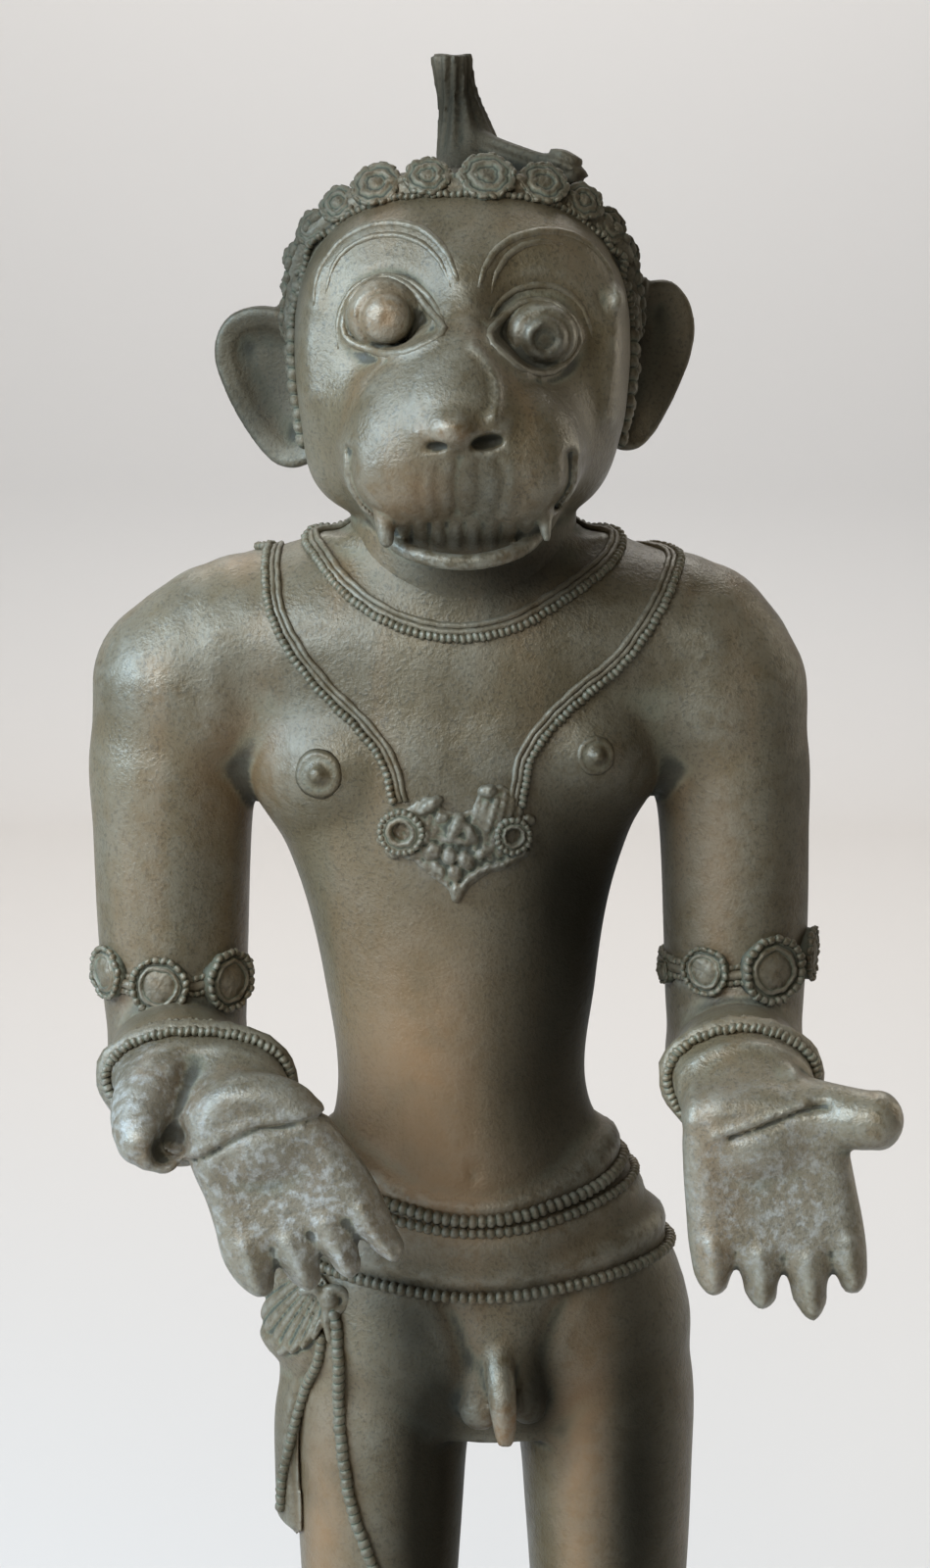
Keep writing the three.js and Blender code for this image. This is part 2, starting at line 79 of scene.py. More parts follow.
# Points round a closed line, and steps along one bead or rib of a cord
RING_POINTS = 48
RIB_STEPS = 6
# The finished clay, and the lines on it that later pieces follow
models = {}


def made(key):
    """What an earlier piece has left in models for this one."""
    if key not in models:
        raise RuntimeError("pieces are made in the panel's order: the %s is missing" % key)
    return models[key]


def at(x, y, z):
    """A point given in hundredths of the figure's height, with z from the soles, in millimetres."""
    return (HUNDREDTH * x, HUNDREDTH * y, level(z))


def level(z):
    """A height given in hundredths of the figure's height from the soles, in millimetres."""
    return SOLE + HUNDREDTH * z


def unit(vectors):
    """The same directions with a length of one."""
    return vectors / np.linalg.norm(vectors, axis=-1, keepdims=True)


def once_round(count):
    """Evenly spaced angles once round."""
    return 2 * np.pi * np.arange(count) / count


def lengths_along(points):
    """How far each point is along the line through them."""
    return np.concatenate([[0], np.cumsum(np.linalg.norm(np.diff(points[:, :3], axis=0), axis=1))])


def curve(knots, values):
    """A smooth curve through values at rising knots, held level past its ends."""
    knots = np.asarray(knots, float)
    values = np.asarray(values, float)
    slopes = np.gradient(values, knots, axis=0)

    def value(t):
        t = np.clip(t, knots[0], knots[-1])
        i = np.clip(np.searchsorted(knots, t) - 1, 0, len(knots) - 2)
        span = knots[i + 1] - knots[i]
        u = (t - knots[i]) / span
        if values.ndim > 1:
            span, u = span[..., None], u[..., None]
        a = (2 * u**3 - 3 * u**2 + 1) * values[i] + (u**3 - 2 * u**2 + u) * span * slopes[i]
        b = (3 * u**2 - 2 * u**3) * values[i + 1] + (u**3 - u**2) * span * slopes[i + 1]
        return a + b

    return value


def walk(points, count, closed=False):
    """Evenly spaced points along a smooth curve through the given ones. Extra columns follow along."""
    points = np.asarray(points, float)
    if closed:
        points = np.vstack([points[-2:], points, points[:3]])
    run = lengths_along(points)
    start, end = (run[2], run[-3]) if closed else (0, run[-1])
    dense = curve(run, points)(np.linspace(start, end, CURVE_DETAIL * count + closed))
    dense_run = lengths_along(dense)
    stops = np.linspace(0, dense_run[-1], count, endpoint=not closed)
    return np.stack([np.interp(stops, dense_run, dense[:, i]) for i in range(dense.shape[1])], axis=1)


def step_up(value, low, high):
    """Nought up to a low value and one from a high one, with a smooth rise between them."""
    t = np.clip((value - low) / (high - low), 0, 1)
    return t * t * (3 - 2 * t)


class Clay:
    """A block of space that holds the distance to the model's surface, in millimetres, below zero inside."""

    def __init__(self, low, high, step):
        self.low = np.array(low, float)
        self.step = step
        counts = np.ceil((np.array(high) - self.low) / step).astype(int) + 1
        self.field = np.full(counts, FAR, np.float32)

    def twin(self):
        """A copy that can be worked on by itself."""
        other = copy.copy(self)
        other.field = self.field.copy()
        return other

    def window(self, low, high):
        """The cells between two corners, with their places along x, y and z."""
        count = self.field.shape
        first = np.clip(np.floor((np.array(low) - self.low) / self.step).astype(int), 0, count)
        last = np.clip(np.ceil((np.array(high) - self.low) / self.step).astype(int) + 1, first, count)
        cells = tuple(slice(a, b) for a, b in zip(first, last))
        axes = [self.low[i] + self.step * np.arange(first[i], last[i], dtype=np.float32) for i in range(3)]
        return cells, np.meshgrid(*[a.astype(np.float32) for a in axes], indexing="ij", sparse=True)

    def places(self):
        """The places of all the cells along x, y and z."""
        return self.window(self.low, self.low + self.step * np.array(self.field.shape))[1]

    def add(self, shape, blend=1.0):
        """Joins a shape on, with a fillet. A function can give the fillet's width by place."""
        self.mix(shape, blend, 1)

    def cut(self, shape, blend=1.0):
        """Takes a shape away, with a softened edge."""
        self.mix(shape, blend, -1)

    def mix(self, shape, blend, side):
        """Joins a shape to the inner side of the surface, or to the outer side with a side of -1."""
        low, high, distance = shape
        pad = max(WIDEST_BLEND if callable(blend) else blend, 2 * self.step) + 2
        cells, (x, y, z) = self.window(np.array(low) - pad, np.array(high) + pad)
        if 0 in self.field[cells].shape:
            return
        width = blend(x, y, z) if callable(blend) else blend
        here = side * self.field[cells]
        new = distance(x, y, z)
        near = np.clip(width - np.abs(here - new), 0, None) / width
        self.field[cells] = side * (np.minimum(here, new) - near * near * width / 4)

    def emboss(self, low, high, height):
        """Raises the surface by a height in millimetres that depends on the place."""
        cells, (x, y, z) = self.window(low, high)
        self.field[cells] -= height(x, y, z)

    def keep(self, distance):
        """Keeps only what lies on the inner side of a boundary."""
        self.field = np.maximum(self.field, distance(*self.places()).astype(np.float32))

    def sample(self, points):
        """The distance to the surface at any points, read between the cells."""
        place = (np.asarray(points, float) - self.low) / self.step
        place = np.clip(place, 0, np.array(self.field.shape) - 1.001)
        cell = place.astype(int)
        u = place - cell
        total = np.zeros(len(place))
        for corner in np.ndindex(2, 2, 2):
            weight = np.prod(np.where(corner, u, 1 - u), axis=1)
            total += weight * self.field[tuple((cell + corner).T)]
        return total

    def over(self, body):
        """The distance to the surface of another model, at each cell of this one."""
        axes = [axis.ravel() for axis in self.places()]
        points = np.stack(np.meshgrid(*axes, indexing="ij"), -1).reshape(-1, 3)
        return body.sample(points).reshape(self.field.shape)

    def meet(self, guides, inner):
        """Where lines from guide points to inner points first meet or graze the surface, with its normals."""
        guides = np.atleast_2d(np.asarray(guides, float))
        inner = np.broadcast_to(np.asarray(inner, float), guides.shape)
        steps = np.linspace(0, 1, LINE_STEPS)
        found = []
        for a, b in zip(guides, inner):
            values = self.sample(a + (b - a) * steps[:, None])
            hit = int(np.argmax(values < 0))
            if values[hit] >= 0:
                hit = int(np.argmin(values))
            if values[hit] > GRAZE:
                raise RuntimeError("a line misses the model's surface at %s" % (a,))
            found.append(a + (b - a) * steps[hit])
        found = np.array(found)
        for _ in range(4):
            found = found - self.sample(found)[:, None] * self.normals(found)
        return found, self.normals(found)

    def seen(self, points):
        """Where the camera's lines through guide points first meet the surface, with its normals."""
        points = np.atleast_2d(np.asarray(points, float))
        line = SIGHT * unit(EYE - points)
        return self.meet(points + line, points - line)

    def normals(self, points):
        """The directions that point straight out of the surface."""
        reach = 1.5 * self.step * np.eye(3)
        slope = np.stack([self.sample(points + way) - self.sample(points - way) for way in reach], axis=1)
        return slope / np.maximum(np.linalg.norm(slope, axis=1, keepdims=True), 1e-6)

    def skin(self):
        """The surface as evenly sized quads: one vertex in each cell that the surface crosses."""
        field = self.field
        field[[0, -1]] = field[:, [0, -1]] = field[:, :, [0, -1]] = FAR
        inside = field < 0
        count = sum(
            inside[a : a - 1 or None, b : b - 1 or None, c : c - 1 or None].astype(np.int8)
            for a, b, c in np.ndindex(2, 2, 2)
        )
        crossed = (count > 0) & (count < 8)
        number = np.full(crossed.shape, -1, np.int32)
        cells = np.argwhere(crossed)
        number[crossed] = np.arange(len(cells))
        total = np.zeros((len(cells), 3))
        hits = np.zeros(len(cells))
        for axis in range(3):
            for corner in np.ndindex(2, 2, 2):
                if corner[axis]:
                    continue
                other = tuple(c + (i == axis) for i, c in enumerate(corner))
                a = field[tuple((cells + corner).T)]
                b = field[tuple((cells + other).T)]
                split = (a < 0) != (b < 0)
                t = a[split] / (a[split] - b[split])
                spot = np.tile(np.array(corner, float), (len(t), 1))
                spot[:, axis] += t
                total[split] += spot
                hits[split] += 1
        vertices = self.low + self.step * (cells + total / hits[:, None])
        quads = []
        for axis in range(3):
            one, two = [i for i in range(3) if i != axis]
            edges = np.argwhere(inside != np.roll(inside, -1, axis))
            whole = (edges[:, axis] < field.shape[axis] - 1) & (edges[:, one] > 0) & (edges[:, two] > 0)
            edges = edges[whole]
            corners = []
            for da, db in ((0, 0), (1, 0), (1, 1), (0, 1)):
                spot = edges.copy()
                spot[:, one] -= da
                spot[:, two] -= db
                corners.append(number[tuple(spot.T)])
            quad = np.stack(corners, axis=1)
            outward = inside[tuple(edges.T)] == (axis != 1)
            quad[~outward] = quad[~outward][:, ::-1]
            quads.append(quad)
        return vertices, np.vstack(quads)


def egg(centre, radii, turn=(0, 0, 0), square=2.0):
    """An ellipsoid turned about x, y and z, in degrees. It is boxier with a higher power than two."""
    centre = np.array(centre, float)
    radii = np.array(radii, float)
    ax, ay, az = np.radians(turn)
    rx = np.array([[1, 0, 0], [0, np.cos(ax), -np.sin(ax)], [0, np.sin(ax), np.cos(ax)]])
    ry = np.array([[np.cos(ay), 0, np.sin(ay)], [0, 1, 0], [-np.sin(ay), 0, np.cos(ay)]])
    rz = np.array([[np.cos(az), -np.sin(az), 0], [np.sin(az), np.cos(az), 0], [0, 0, 1]])
    ahead = rz @ ry @ rx
    back = ahead.T
    reach = np.abs(ahead) @ radii

    def distance(x, y, z):
        offset = (x - centre[0], y - centre[1], z - centre[2])
        local = [np.abs(sum(b * o for b, o in zip(row, offset))) / r for row, r in zip(back, radii)]
        whole = sum(u**square for u in local) ** (1 / square) + 1e-4
        slope = np.sqrt(sum((u ** (square - 1) / r) ** 2 for u, r in zip(local, radii))) + 1e-5
        return (whole - 1) * whole ** (square - 1) / slope

    return centre - reach, centre + reach, distance


def loft(stations, axis=2, square=2.0):
    """A body of oval sections along an axis. A station is its place on the axis, the middle of its section
    across and deep, its half width, and its depths to the low and the high side."""
    stations = np.array(stations, float)
    if stations[0, 0] > stations[-1, 0]:
        stations = stations[::-1]
    sections = curve(stations[:, 0], stations[:, 1:])
    t0, t1 = stations[0, 0], stations[-1, 0]
    deep_axis = 1 if axis == 2 else 2
    low, high = np.zeros(3), np.zeros(3)
    low[axis], high[axis] = t0, t1
    low[0] = (stations[:, 1] - stations[:, 3]).min()
    high[0] = (stations[:, 1] + stations[:, 3]).max()
    low[deep_axis] = (stations[:, 2] - stations[:, 4]).min()
    high[deep_axis] = (stations[:, 2] + stations[:, 5]).max()

    def distance(x, y, z):
        t, deep = (z, y) if axis == 2 else (y, z)
        section = sections(np.asarray(t, float)).astype(np.float32)
        across = (x - section[..., 0]) / section[..., 2]
        v = deep - section[..., 1]
        depth = np.where(v < 0, section[..., 3], section[..., 4])
        v = v / depth
        p = square
        rho = (np.abs(across) ** p + np.abs(v) ** p) ** (1 / p) + 1e-4
        slope = np.hypot(np.abs(across) ** (p - 1) / section[..., 2], np.abs(v) ** (p - 1) / depth)
        slope = slope / rho ** (p - 1) + 1e-4
        return np.maximum((rho - 1) / slope, np.maximum(t0 - t, t - t1))

    return low, high, distance


def chain(points, radii, pieces=10, flat=None, ratio=1.0, closed=False):
    """A limb of changing radius along a smooth line, thinner by a ratio along the direction called flat."""
    track = walk(np.column_stack([points, np.broadcast_to(radii, len(points))]), pieces + 1, closed)
    if closed:
        track = np.vstack([track, track[:1]])
    reach = track[:, 3:4]
    low, high = (track[:, :3] - reach).min(0), (track[:, :3] + reach).max(0)
    if flat is not None:
        flat = np.array(flat, float) / np.linalg.norm(flat)
        squeeze = 1 / ratio**2 - 1

    def distance(x, y, z):
        best = np.full(np.broadcast_shapes(x.shape, y.shape, z.shape), FAR, np.float32)
        for a, b in zip(track[:-1], track[1:]):
            ab = b[:3] - a[:3]
            pad = max(a[3], b[3]) + FAR
            lo, hi = np.minimum(a[:3], b[:3]) - pad, np.maximum(a[:3], b[:3]) + pad
            sx = slice(*np.searchsorted(x[:, 0, 0], (lo[0], hi[0])))
            sy = slice(*np.searchsorted(y[0, :, 0], (lo[1], hi[1])))
            sz = slice(*np.searchsorted(z[0, 0, :], (lo[2], hi[2])))
            px, py, pz = x[sx] - a[0], y[:, sy] - a[1], z[:, :, sz] - a[2]
            t = np.clip((px * ab[0] + py * ab[1] + pz * ab[2]) / max(ab @ ab, 1e-9), 0, 1)
            vx, vy, vz = px - t * ab[0], py - t * ab[1], pz - t * ab[2]
            gap = vx * vx + vy * vy + vz * vz
            if flat is not None:
                gap = gap + squeeze * (vx * flat[0] + vy * flat[1] + vz * flat[2]) ** 2
            here = best[sx, sy, sz]
            np.minimum(here, np.sqrt(gap) - (a[3] + t * (b[3] - a[3])), out=here)
        return best

    return low, high, distance


def gap_to(track, x, z):
    """The distance from places in a plane to a line of straight pieces."""
    best = np.full(np.broadcast_shapes(x.shape, z.shape), 1e3, np.float32)
    for a, b in zip(track[:-1], track[1:]):
        ab = b - a
        px, pz = x - a[0], z - a[1]
        t = np.clip((px * ab[0] + pz * ab[1]) / max(ab @ ab, 1e-9), 0, 1)
        best = np.minimum(best, np.hypot(px - t * ab[0], pz - t * ab[1]))
    return best


def stroke(points, count=40):
    """A line drawn on the front: gives the distance to it from places (x, z)."""
    track = walk([(x, z, 0.0) for x, z in points], count)[:, :2]
    return lambda x, z: gap_to(track, x, z)


def outline(points, count=60):
    """A closed outline: gives the distance to it from places (u, v), below zero inside."""
    track = walk([(u, v, 0.0) for u, v in points], count, True)[:, :2]
    track = np.vstack([track, track[:1]])

    def distance(u, v):
        gap = gap_to(track, u, v)
        inside = np.zeros(gap.shape, bool)
        for a, b in zip(track[:-1], track[1:]):
            if a[1] != b[1]:
                spans = (a[1] > v) != (b[1] > v)
                inside ^= spans & (u < (b[0] - a[0]) * (v - a[1]) / (b[1] - a[1]) + a[0])
        return np.where(inside, -gap, gap)

    return distance


def bump(distance, width, height):
    """A rounded ridge of some width and height along a line that is a distance away."""
    return height * np.exp(-((distance / width) ** 2))


# Meshes


def home(points):
    """From the modelling millimetres to metres in the frame's coordinates."""
    return (np.asarray(points, float) + PLUMB) / 1000


def tube_faces(rows, sides, closed=False):
    """The quads between rings of points that are set in rows."""
    i = np.arange(rows if closed else rows - 1)[:, None]
    j = np.arange(sides)
    near = i * sides + j
    beside = i * sides + (j + 1) % sides
    count = rows * sides
    return np.stack([near, beside, (beside + sides) % count, (near + sides) % count], -1).reshape(-1, 4)


def lid(ring, middle, turned_over=False):
    """The triangles from a closed ring of points to a point in its middle."""
    ahead = np.roll(ring, -1)
    first, second = (ahead, ring) if turned_over else (ring, ahead)
    return np.stack([first, second, np.full(len(ring), middle)], 1)


def disc_frame(facing, up=(0, 0, 1)):
    """The directions of a disc: the way it faces, its upward direction and the one across."""
    facing = unit(np.array(facing, float))
    up = unit(np.array(up, float) - np.dot(up, facing) * facing)
    return facing, up, np.cross(up, facing)


def mesh_object(name, vertices, faces, attributes, moved=True):
    """A smooth mesh piece from vertices in millimetres and a list of arrays of faces."""
    mesh = bpy.data.meshes.new(name)
    faces = [f for f in faces if len(f)]
    corners = np.concatenate([f.ravel() for f in faces]).astype(np.int32)
    sizes = np.concatenate([np.full(len(f), f.shape[1]) for f in faces])
    starts = np.concatenate([[0], np.cumsum(sizes)[:-1]]).astype(np.int32)
    place = home(vertices) if moved else np.asarray(vertices) / 1000
    mesh.vertices.add(len(vertices))
    mesh.vertices.foreach_set("co", place.astype(np.float32).ravel())
    mesh.loops.add(len(corners))
    mesh.loops.foreach_set("vertex_index", corners)
    mesh.polygons.add(len(starts))
    mesh.polygons.foreach_set("loop_start", starts)
    mesh.polygons.foreach_set("use_smooth", np.ones(len(starts), bool))
    mesh.update(calc_edges=True)
    if mesh.validate(verbose=False):
        print("mended faces in", name)
    for key, values in attributes.items():
        layer = mesh.attributes.new(key, "FLOAT", "POINT")
        layer.data.foreach_set("value", np.asarray(values, np.float32))
    piece = bpy.data.objects.new(name, mesh)
    bpy.context.scene.collection.objects.link(piece)
    return piece


def curvature(vertices, quads, passes):
    """How hollow the surface is at each vertex, in millimetres: above zero in a hollow, below on an edge."""
    pairs = np.concatenate([np.stack([quads[:, i], quads[:, (i + 1) % 4]], 1) for i in range(4)])
    count = len(vertices)
    degree = np.bincount(pairs.ravel(), minlength=count)

    def spread(values):
        ahead = np.bincount(pairs[:, 0], values[pairs[:, 1]], count)
        behind = np.bincount(pairs[:, 1], values[pairs[:, 0]], count)
        return (ahead + behind) / degree

    corners = vertices[quads]
    face = np.cross(corners[:, 2] - corners[:, 0], corners[:, 3] - corners[:, 1])
    normal = np.stack([sum(np.bincount(quads[:, k], part, count) for k in range(4)) for part in face.T], 1)
    normal /= np.maximum(np.linalg.norm(normal, axis=1, keepdims=True), 1e-9)
    middle = vertices
    for _ in range(passes):
        middle = np.stack([spread(middle[:, i]) for i in range(3)], 1)
    hollow = ((middle - vertices) * normal).sum(1)
    for _ in range(2):
        hollow = spread(hollow)
    return hollow


# Worn and dirty places: middle, radii and strength, in the modelling millimetres.
# Places that hands rub to a warm brown, and two stripes down the thighs that are a painted warm reflection
RUBBED_AND_SHEEN = [
    ((-11, -28, 404), (17, 26, 34), 1),
    ((-2, -28, 372), (20, 20, 14), 0.5),
    # The two stripes down the front of the thighs are a painted warm reflection
    ((29.5, -24, 284), (6.5, 22, 58), 1.1),
    ((-34.5, -16, 264), (6.5, 22, 46), 1.1),
    ((-79, -12, 445), (6, 16, 34), 0.3),
    ((62, -14, 445), (6, 14, 36), 0.5),
    ((10.6, -40, 315), (5, 9, 7), 1.4),
    ((-14, -60, 543), (10, 14, 8), 0.7),
    ((-4, -68, 557), (7, 7, 3), 0.8),
    ((-17.2, -46, 582.4), (5.8, 5, 5.8), 0.6),
    ((-54, -14, 474), (12, 22, 16), 0.6),
]
# Dusty places, and a pale painted light on the middle of the chest
DUSTY_AND_LIT = [
    ((-40, -78, 388), (26, 18, 26), 0.8),
    ((-24, -80, 374), (9, 12, 7), 0.5),
    ((70, -78, 386), (26, 18, 30), 0.65),
    ((-74, -70, 405), (14, 24, 16), 0.7),
    # Painted light: the middle of the chest made paler where the front light falls
    ((0, -30, 456), (22, 14, 10), 0.35),
    ((0, -28, 484), (24, 14, 20), 0.22),
    ((-72, -10, 410), (26, 22, 18), 0.35),
    ((68, -10, 410), (26, 22, 18), 0.35),
]
# Places where the edges aren't worn bright
DULL = [
    ((0, 10, 628), (16, 16, 24), 1.2),
    ((20, -2, 618), (16, 12, 10), 1),
    ((0, 30, 590), (50, 26, 46), 0.8),
    ((0, -6, 606), (48, 22, 18), 0.9),
    ((-52, 3, 566), (14, 14, 24), 0.9),
    ((50, 3, 571), (14, 14, 24), 0.9),
    ((-34, -31, 475), (7, 9, 7), 1.2),
    ((32, -31, 480), (7, 9, 7), 1.2),
]
# Places painted darker: painted shade on the sides turned from the window light, a stripe down each thigh,
# under the jaw, in the mouth, in the ears and beside the loins, and a darker patina on the tuft and the lock
SHADED_AND_AGED = [
    ((-1, 10, 634), (12, 14, 16), 1),
    ((16, 0, 616), (20, 14, 9), 0.7),
    ((0, -8, 608), (50, 18, 14), 0.7),
    ((-42, -6, 588), (10, 18, 22), 0.35),
    ((42, -6, 588), (10, 18, 22), 0.5),
    ((-52, 3, 566), (14, 14, 24), 0.75),
    ((50, 3, 571), (14, 14, 24), 0.6),
    ((45, -10, 440), (11, 30, 48), 0.4),
    ((21, -23, 402), (16, 22, 60), 0.9),
    ((-8.5, -20, 290), (11, 22, 66), 1.15),
    ((88, -8, 455), (11, 24, 62), 0.65),
    ((38, -12, 434), (11, 24, 36), 0.5),
    ((-14, -20, 340), (10, 20, 14), 0.4),
    ((43, -16, 290), (9.5, 22, 66), 1.1),
    ((18.5, -24, 322), (5.5, 14, 18), 0.9),
    ((-1, -30, 322), (8, 12, 14), 0.4),
    ((15, -30, 322), (6, 12, 12), 0.4),
    ((16, -16, 528), (16, 18, 14), 0.6),
    ((3, -24, 523), (17, 14, 7), 0.55),
    ((6, -58, 545), (9, 10, 8), 0.4),
    ((3, -48, 533), (17, 12, 3.5), 0.55),
    ((19.4, -46, 576.6), (5.5, 6, 5.5), 0.85),
    ((24, -22, 452), (11, 20, 20), 0.5),
]


def patches(points, places):
    """How much of a kind of wear there is at points, from nought to one."""
    total = np.zeros(len(points))
    for middle, radii, strength in places:
        total += strength * np.exp(-((((points - np.array(middle)) / np.array(radii)) ** 2).sum(1)))
    return np.clip(total, 0, 1)


def cast(clay, name, metal):
    """Turns modelled clay into a bronze piece that stands for the figure's casting."""
    vertices, quads = clay.skin()
    fine = curvature(vertices, quads, 3) / (0.12 * clay.step)
    broad = curvature(vertices, quads, 14) / (0.5 * clay.step)
    piece = mesh_object(
        name,
        vertices,
        [quads],
        {
            # How hollow the surface is: green crust there, and painted shade in the deepest hollows
            "hollow": np.clip(0.7 * fine + 0.22 * broad, 0, 1),
            "edge": np.clip(-0.5 * fine - 0.3 * broad, 0, 1) * (1 - 0.9 * patches(vertices, DULL)),
            "rubbed": patches(vertices, RUBBED_AND_SHEEN),
            "dust": patches(vertices, DUSTY_AND_LIT),
            "aged": patches(vertices, SHADED_AND_AGED),
        },
    )
    settle(piece, metal)


def settle(piece, metal, node="hanuman_figure", slot="figure_bronze"):
    """Gives a piece its metal, hangs it from the root and hides the imported part that it replaces."""
    piece.data.materials.append(metal)
    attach(piece, "root")
    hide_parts(node)


def sized(profile, size):
    """A profile whose radii are shares of a size, in millimetres."""
    return [(size * share, height, shade) for share, height, shade in profile]


class Trim:
    """Fine ornament that is gathered into one mesh."""

    def __init__(self):
        self.vertices, self.faces, self.hollow, self.count = [], [], [], 0

    def take(self, vertices, faces, hollow):
        """Gathers one more ornament."""
        self.vertices.append(vertices)
        self.faces += [f + self.count for f in faces]
        self.hollow.append(hollow)
        self.count += len(vertices)

    def cord(self, points, normals, radius, sides=8, rib=None, depth=0.4, closed=False, sharp=0.7):
        """A cord that lies on a surface. With a rib length it swells and narrows as beads do."""
        length = np.linalg.norm(np.diff(points, axis=0), axis=1).sum()
        if rib:
            count = RIB_STEPS * max(2, round(length / rib)) + (0 if closed else 1)
            swell = np.abs(np.sin(np.pi * np.arange(count) / RIB_STEPS)) ** sharp
        else:
            count = max(8, int(length / PLAIN_SPACING))
            swell = np.ones(count)
        if np.ndim(radius):
            radius = np.interp(np.linspace(0, 1, count), np.linspace(0, 1, len(radius)), radius)
        size = np.broadcast_to(radius, (count,))
        track = walk(np.column_stack([points, normals]), count, closed)
        spots, up = track[:, :3], track[:, 3:]
        along = np.roll(spots, -1, 0) - np.roll(spots, 1, 0) if closed else np.gradient(spots, axis=0)
        along = unit(along)
        up = unit(up - (up * along).sum(1, keepdims=True) * along)
        side = np.cross(along, up)
        angle = once_round(sides)
        ring = np.cos(angle)[:, None] * side[:, None] + np.sin(angle)[:, None] * up[:, None]
        ring *= (size * (1 - depth * (1 - swell)))[:, None, None]
        vertices = (spots[:, None] + ring).reshape(-1, 3)
        faces = [tube_faces(count, sides, closed)]
        # The valleys between beads and the cord's underside count as hollow: green crust there, and painted
        # shade in the deepest valleys
        under = np.tile(np.clip(-np.sin(angle), 0, 1), count)
        hollow = np.maximum(np.repeat(1 - swell, sides), 0.55 * under)
        if not closed:
            first = np.arange(sides)
            last = first + (count - 1) * sides
            tips = [spots[0] - along[0] * size[0] * 0.4, spots[-1] + along[-1] * size[-1] * 0.4]
            faces += [lid(first, len(vertices), turned_over=True), lid(last, len(vertices) + 1)]
            vertices = np.vstack([vertices, tips])
            hollow = np.concatenate([hollow, [0, 0]])
        self.take(vertices, faces, hollow)

    def turned(self, centre, facing, profile, sides=28, petals=0, swell=0.0, up=(0, 0, 1)):
        """A disc or boss turned about a direction. A row of its profile, from the rim inwards, is a radius,
        a height and how hollow it is there."""
        facing, up, side = disc_frame(facing, up)
        profile = np.array(profile, float)
        rows = len(profile)
        angle = once_round(sides)
        wave = 1 + swell * (np.abs(np.sin(petals * angle / 2)) - 0.5) if petals else np.ones(sides)
        spoke = wave[:, None] * (np.cos(angle)[:, None] * side + np.sin(angle)[:, None] * up)
        radius, height, hollow = profile.T[:, :, None, None]
        spots = (np.array(centre) + radius * spoke + height * facing).reshape(-1, 3)
        ends = [np.array(centre) + profile[i, 1] * facing for i in (-1, 0)]
        ring = np.arange(sides)
        top = lid(ring + (rows - 1) * sides, rows * sides)
        foot = lid(ring, rows * sides + 1, turned_over=True)
        shade = np.concatenate([np.repeat(hollow.ravel(), sides), [profile[-1, 2], 1]])
        self.take(np.vstack([spots, ends]), [tube_faces(rows, sides), top, foot], shade)

    def ring_of_beads(self, centre, facing, radius, bead, count, lift):
        """A ring of beads that lies on a disc, lifted by a height from the disc's middle."""
        facing, up, side = disc_frame(facing)
        angle = once_round(RING_POINTS)[:, None]
        points = np.array(centre) + lift * facing + radius * (np.cos(angle) * side + np.sin(angle) * up)
        spacing = 2 * np.pi * radius / count
        self.cord(points, np.tile(facing, (RING_POINTS, 1)), bead, 6, spacing, 0.5, True, sharp=0.6)

    def finish(self, name, metal, wear=0.2, **settled):
        """Makes the gathered ornament a piece, with its surface worn uneven by a depth in millimetres."""
        vertices = np.vstack(self.vertices)
        ahead, beside = vertices[:, [1, 2, 0]], vertices[:, [2, 0, 1]]
        worn = np.sin(1.3 * ahead + 0.7 * beside) + 0.45 * np.sin(3.7 * beside - 1.9 * ahead)
        vertices = vertices + wear * worn
        hollow = np.concatenate(self.hollow)
        faces = {}
        for f in self.faces:
            faces.setdefault(f.shape[1], []).append(f)
        faces = [np.vstack(f) for f in faces.values()]
        piece = mesh_object(
            name,
            vertices,
            faces,
            {
                "hollow": hollow,
                "edge": 0.5 * (1 - hollow) * (1 - 0.6 * patches(vertices, DULL)),
                "rubbed": 0 * hollow,
                "dust": patches(vertices, DUSTY_AND_LIT),
                "aged": patches(vertices, SHADED_AND_AGED),
            },
        )
        settle(piece, metal, **settled)


# Finishes


